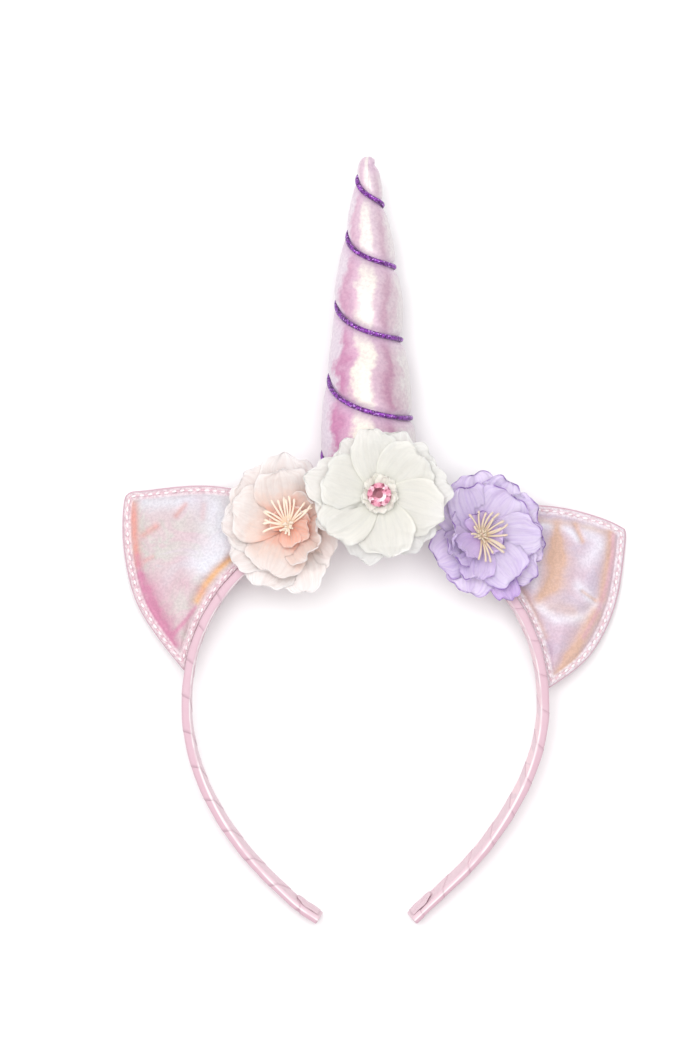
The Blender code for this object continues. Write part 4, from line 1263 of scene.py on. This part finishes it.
def make_flap(side, sign, start):
    """The ribbon's end, folded double and glued to the band's inner face."""
    reach = np.linspace(0.9, 10.6, 26)[:, None]
    across = np.linspace(-3.5, 3.5, 17)[None, :]
    slant = np.clip((reach - 7.4) / 3.2, 0, 1)
    width = across * (1 - 0.55 * slant) - 1.5 * slant
    crease = 0.45 * (reach - 5)
    centre, out, over, _, size = band_frame(np.broadcast_to(start + sign * reach, width.shape))
    lift = FLAP_LIFT + 0.16 * bell(width - 0.8 + crease, 0.7) + 0.08 * np.sin(reach * 1.3 + across)
    points = centre - out * (size * BAND_THICK / 2 + lift)[..., None] + over * width[..., None]
    shade = 0.6 * bell(across - 0.3 + crease, 0.5)
    made = band_sheet(f"ribbon_flap_{side}", points.reshape(-1, 3), grid_faces(*width.shape), sign, shade)
    thicken(made, FLAP_THICK, offset=0.0)
    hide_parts("ribbon_end_" + side)


def make_tips():
    for side, sign, start, long, slant in (("left", 1, 0.0, 6.4, 3.4), ("right", -1, LINE_LONG, 3.2, 1.2)):
        make_tip_fold(side, sign, start, long, slant)
        make_flap(side, sign, start)


def stitch_thread():
    made = Surface("stitch_thread", 0.5, Sheen_Weight=0.2)
    twist = made.noise(1400.0, 1.0)
    tone = made.ramp(twist, [(0.35, (0.84, 0.72, 0.75)), (0.6, (0.92, 0.89, 0.90))])
    return made.finished(made.tint(tone, (0.72, 0.48, 0.54), made.read("dip"), 0.85), twist, 0.4, 0.05)


def band_plastic():
    made = Surface("band_plastic", 0.5)
    blotches = made.math("MULTIPLY", made.noise(200.0), 0.3)
    return made.finished(made.mix(blotches, (0.78, 0.56, 0.61), (0.86, 0.70, 0.73)))


SATIN = satin_ribbon()
LAME = lame_cloth()
CORD = metallic_thread("violet_thread", (0.27, 0.045, 0.42), (0.66, 0.38, 0.84), 0.3)
CORD_DARK = metallic_thread("dark_thread", (0.05, 0.01, 0.14), (0.2, 0.08, 0.4), 0.4)
EAR_CLOTH = {
    "left": ear_cloth(
        "left", [(0.60, 0.55, 0.57), (0.62, 0.50, 0.52), (0.58, 0.55, 0.52)],
        {"pale": (0.70, 0.70, 0.76), "amber": (0.72, 0.42, 0.22), "warm": (0.70, 0.33, 0.29),
         "rosy": (0.60, 0.24, 0.37)},
        [(0.64, 0.46, 0.51), (0.78, 0.66, 0.69)]),
    "right": ear_cloth(
        "right", [(0.58, 0.49, 0.59), (0.60, 0.47, 0.55), (0.57, 0.48, 0.58)],
        {"pale": (0.77, 0.75, 0.83), "amber": (0.66, 0.46, 0.34), "warm": (0.64, 0.42, 0.32),
         "rosy": (0.64, 0.36, 0.46)},
        [(0.70, 0.57, 0.60), (0.81, 0.75, 0.79)]),
}
STITCH = stitch_thread()
PETAL_CLOTH = {
    # Its tone colour is a painted cool shade for the lower petals.
    "white": petal_cloth(
        "white", [(0.0, (0.74, 0.72, 0.60)), (0.22, (0.76, 0.735, 0.65)), (0.5, (0.74, 0.71, 0.64)),
                  (1.0, (0.72, 0.70, 0.65))],
        (0.65, 0.67, 0.68), ((0.76, 0.76, 0.75), 0.5, 6.0), ((0.60, 0.59, 0.55), 0.3)),
    "peach": petal_cloth(
        "peach", [(0.0, (0.80, 0.31, 0.21)), (0.22, (0.83, 0.44, 0.35)), (0.42, (0.83, 0.64, 0.57)),
                  (0.62, (0.80, 0.73, 0.70)), (1.0, (0.80, 0.77, 0.76))],
        (0.74, 0.42, 0.33), ((0.80, 0.77, 0.78), 0.6, 7.0), ((0.68, 0.56, 0.53), 0.4)),
    "lavender": petal_cloth(
        "lavender", [(0.0, (0.50, 0.33, 0.58)), (0.25, (0.65, 0.53, 0.75)), (0.5, (0.70, 0.60, 0.80)),
                     (1.0, (0.68, 0.60, 0.77))],
        (0.50, 0.34, 0.68), ((0.20, 0.10, 0.37), 1.1, 14.0), ((0.48, 0.36, 0.66), 0.5)),
}
STAMEN_THREAD = {
    "peach": stamen_thread("peach", (0.86, 0.62, 0.46), (0.88, 0.76, 0.64)),
    "lavender": stamen_thread("lavender", (0.62, 0.46, 0.30), (0.72, 0.60, 0.47)),
}
GEM = gem_material()
SEATS = {flower: flower_seat(flower) for flower in FLOWERS}
frame["nodes"]["band_core"].data.materials.clear()
frame["nodes"]["band_core"].data.materials.append(band_plastic())

make_ribbon()
make_tips()
make_horn()
make_cord()
for side in EAR_EDGES:
    make_ear(side)
for flower in FLOWERS:
    make_flower(flower)
for flower in STAMENS:
    make_stamens(flower)
make_gem()
make_stage()
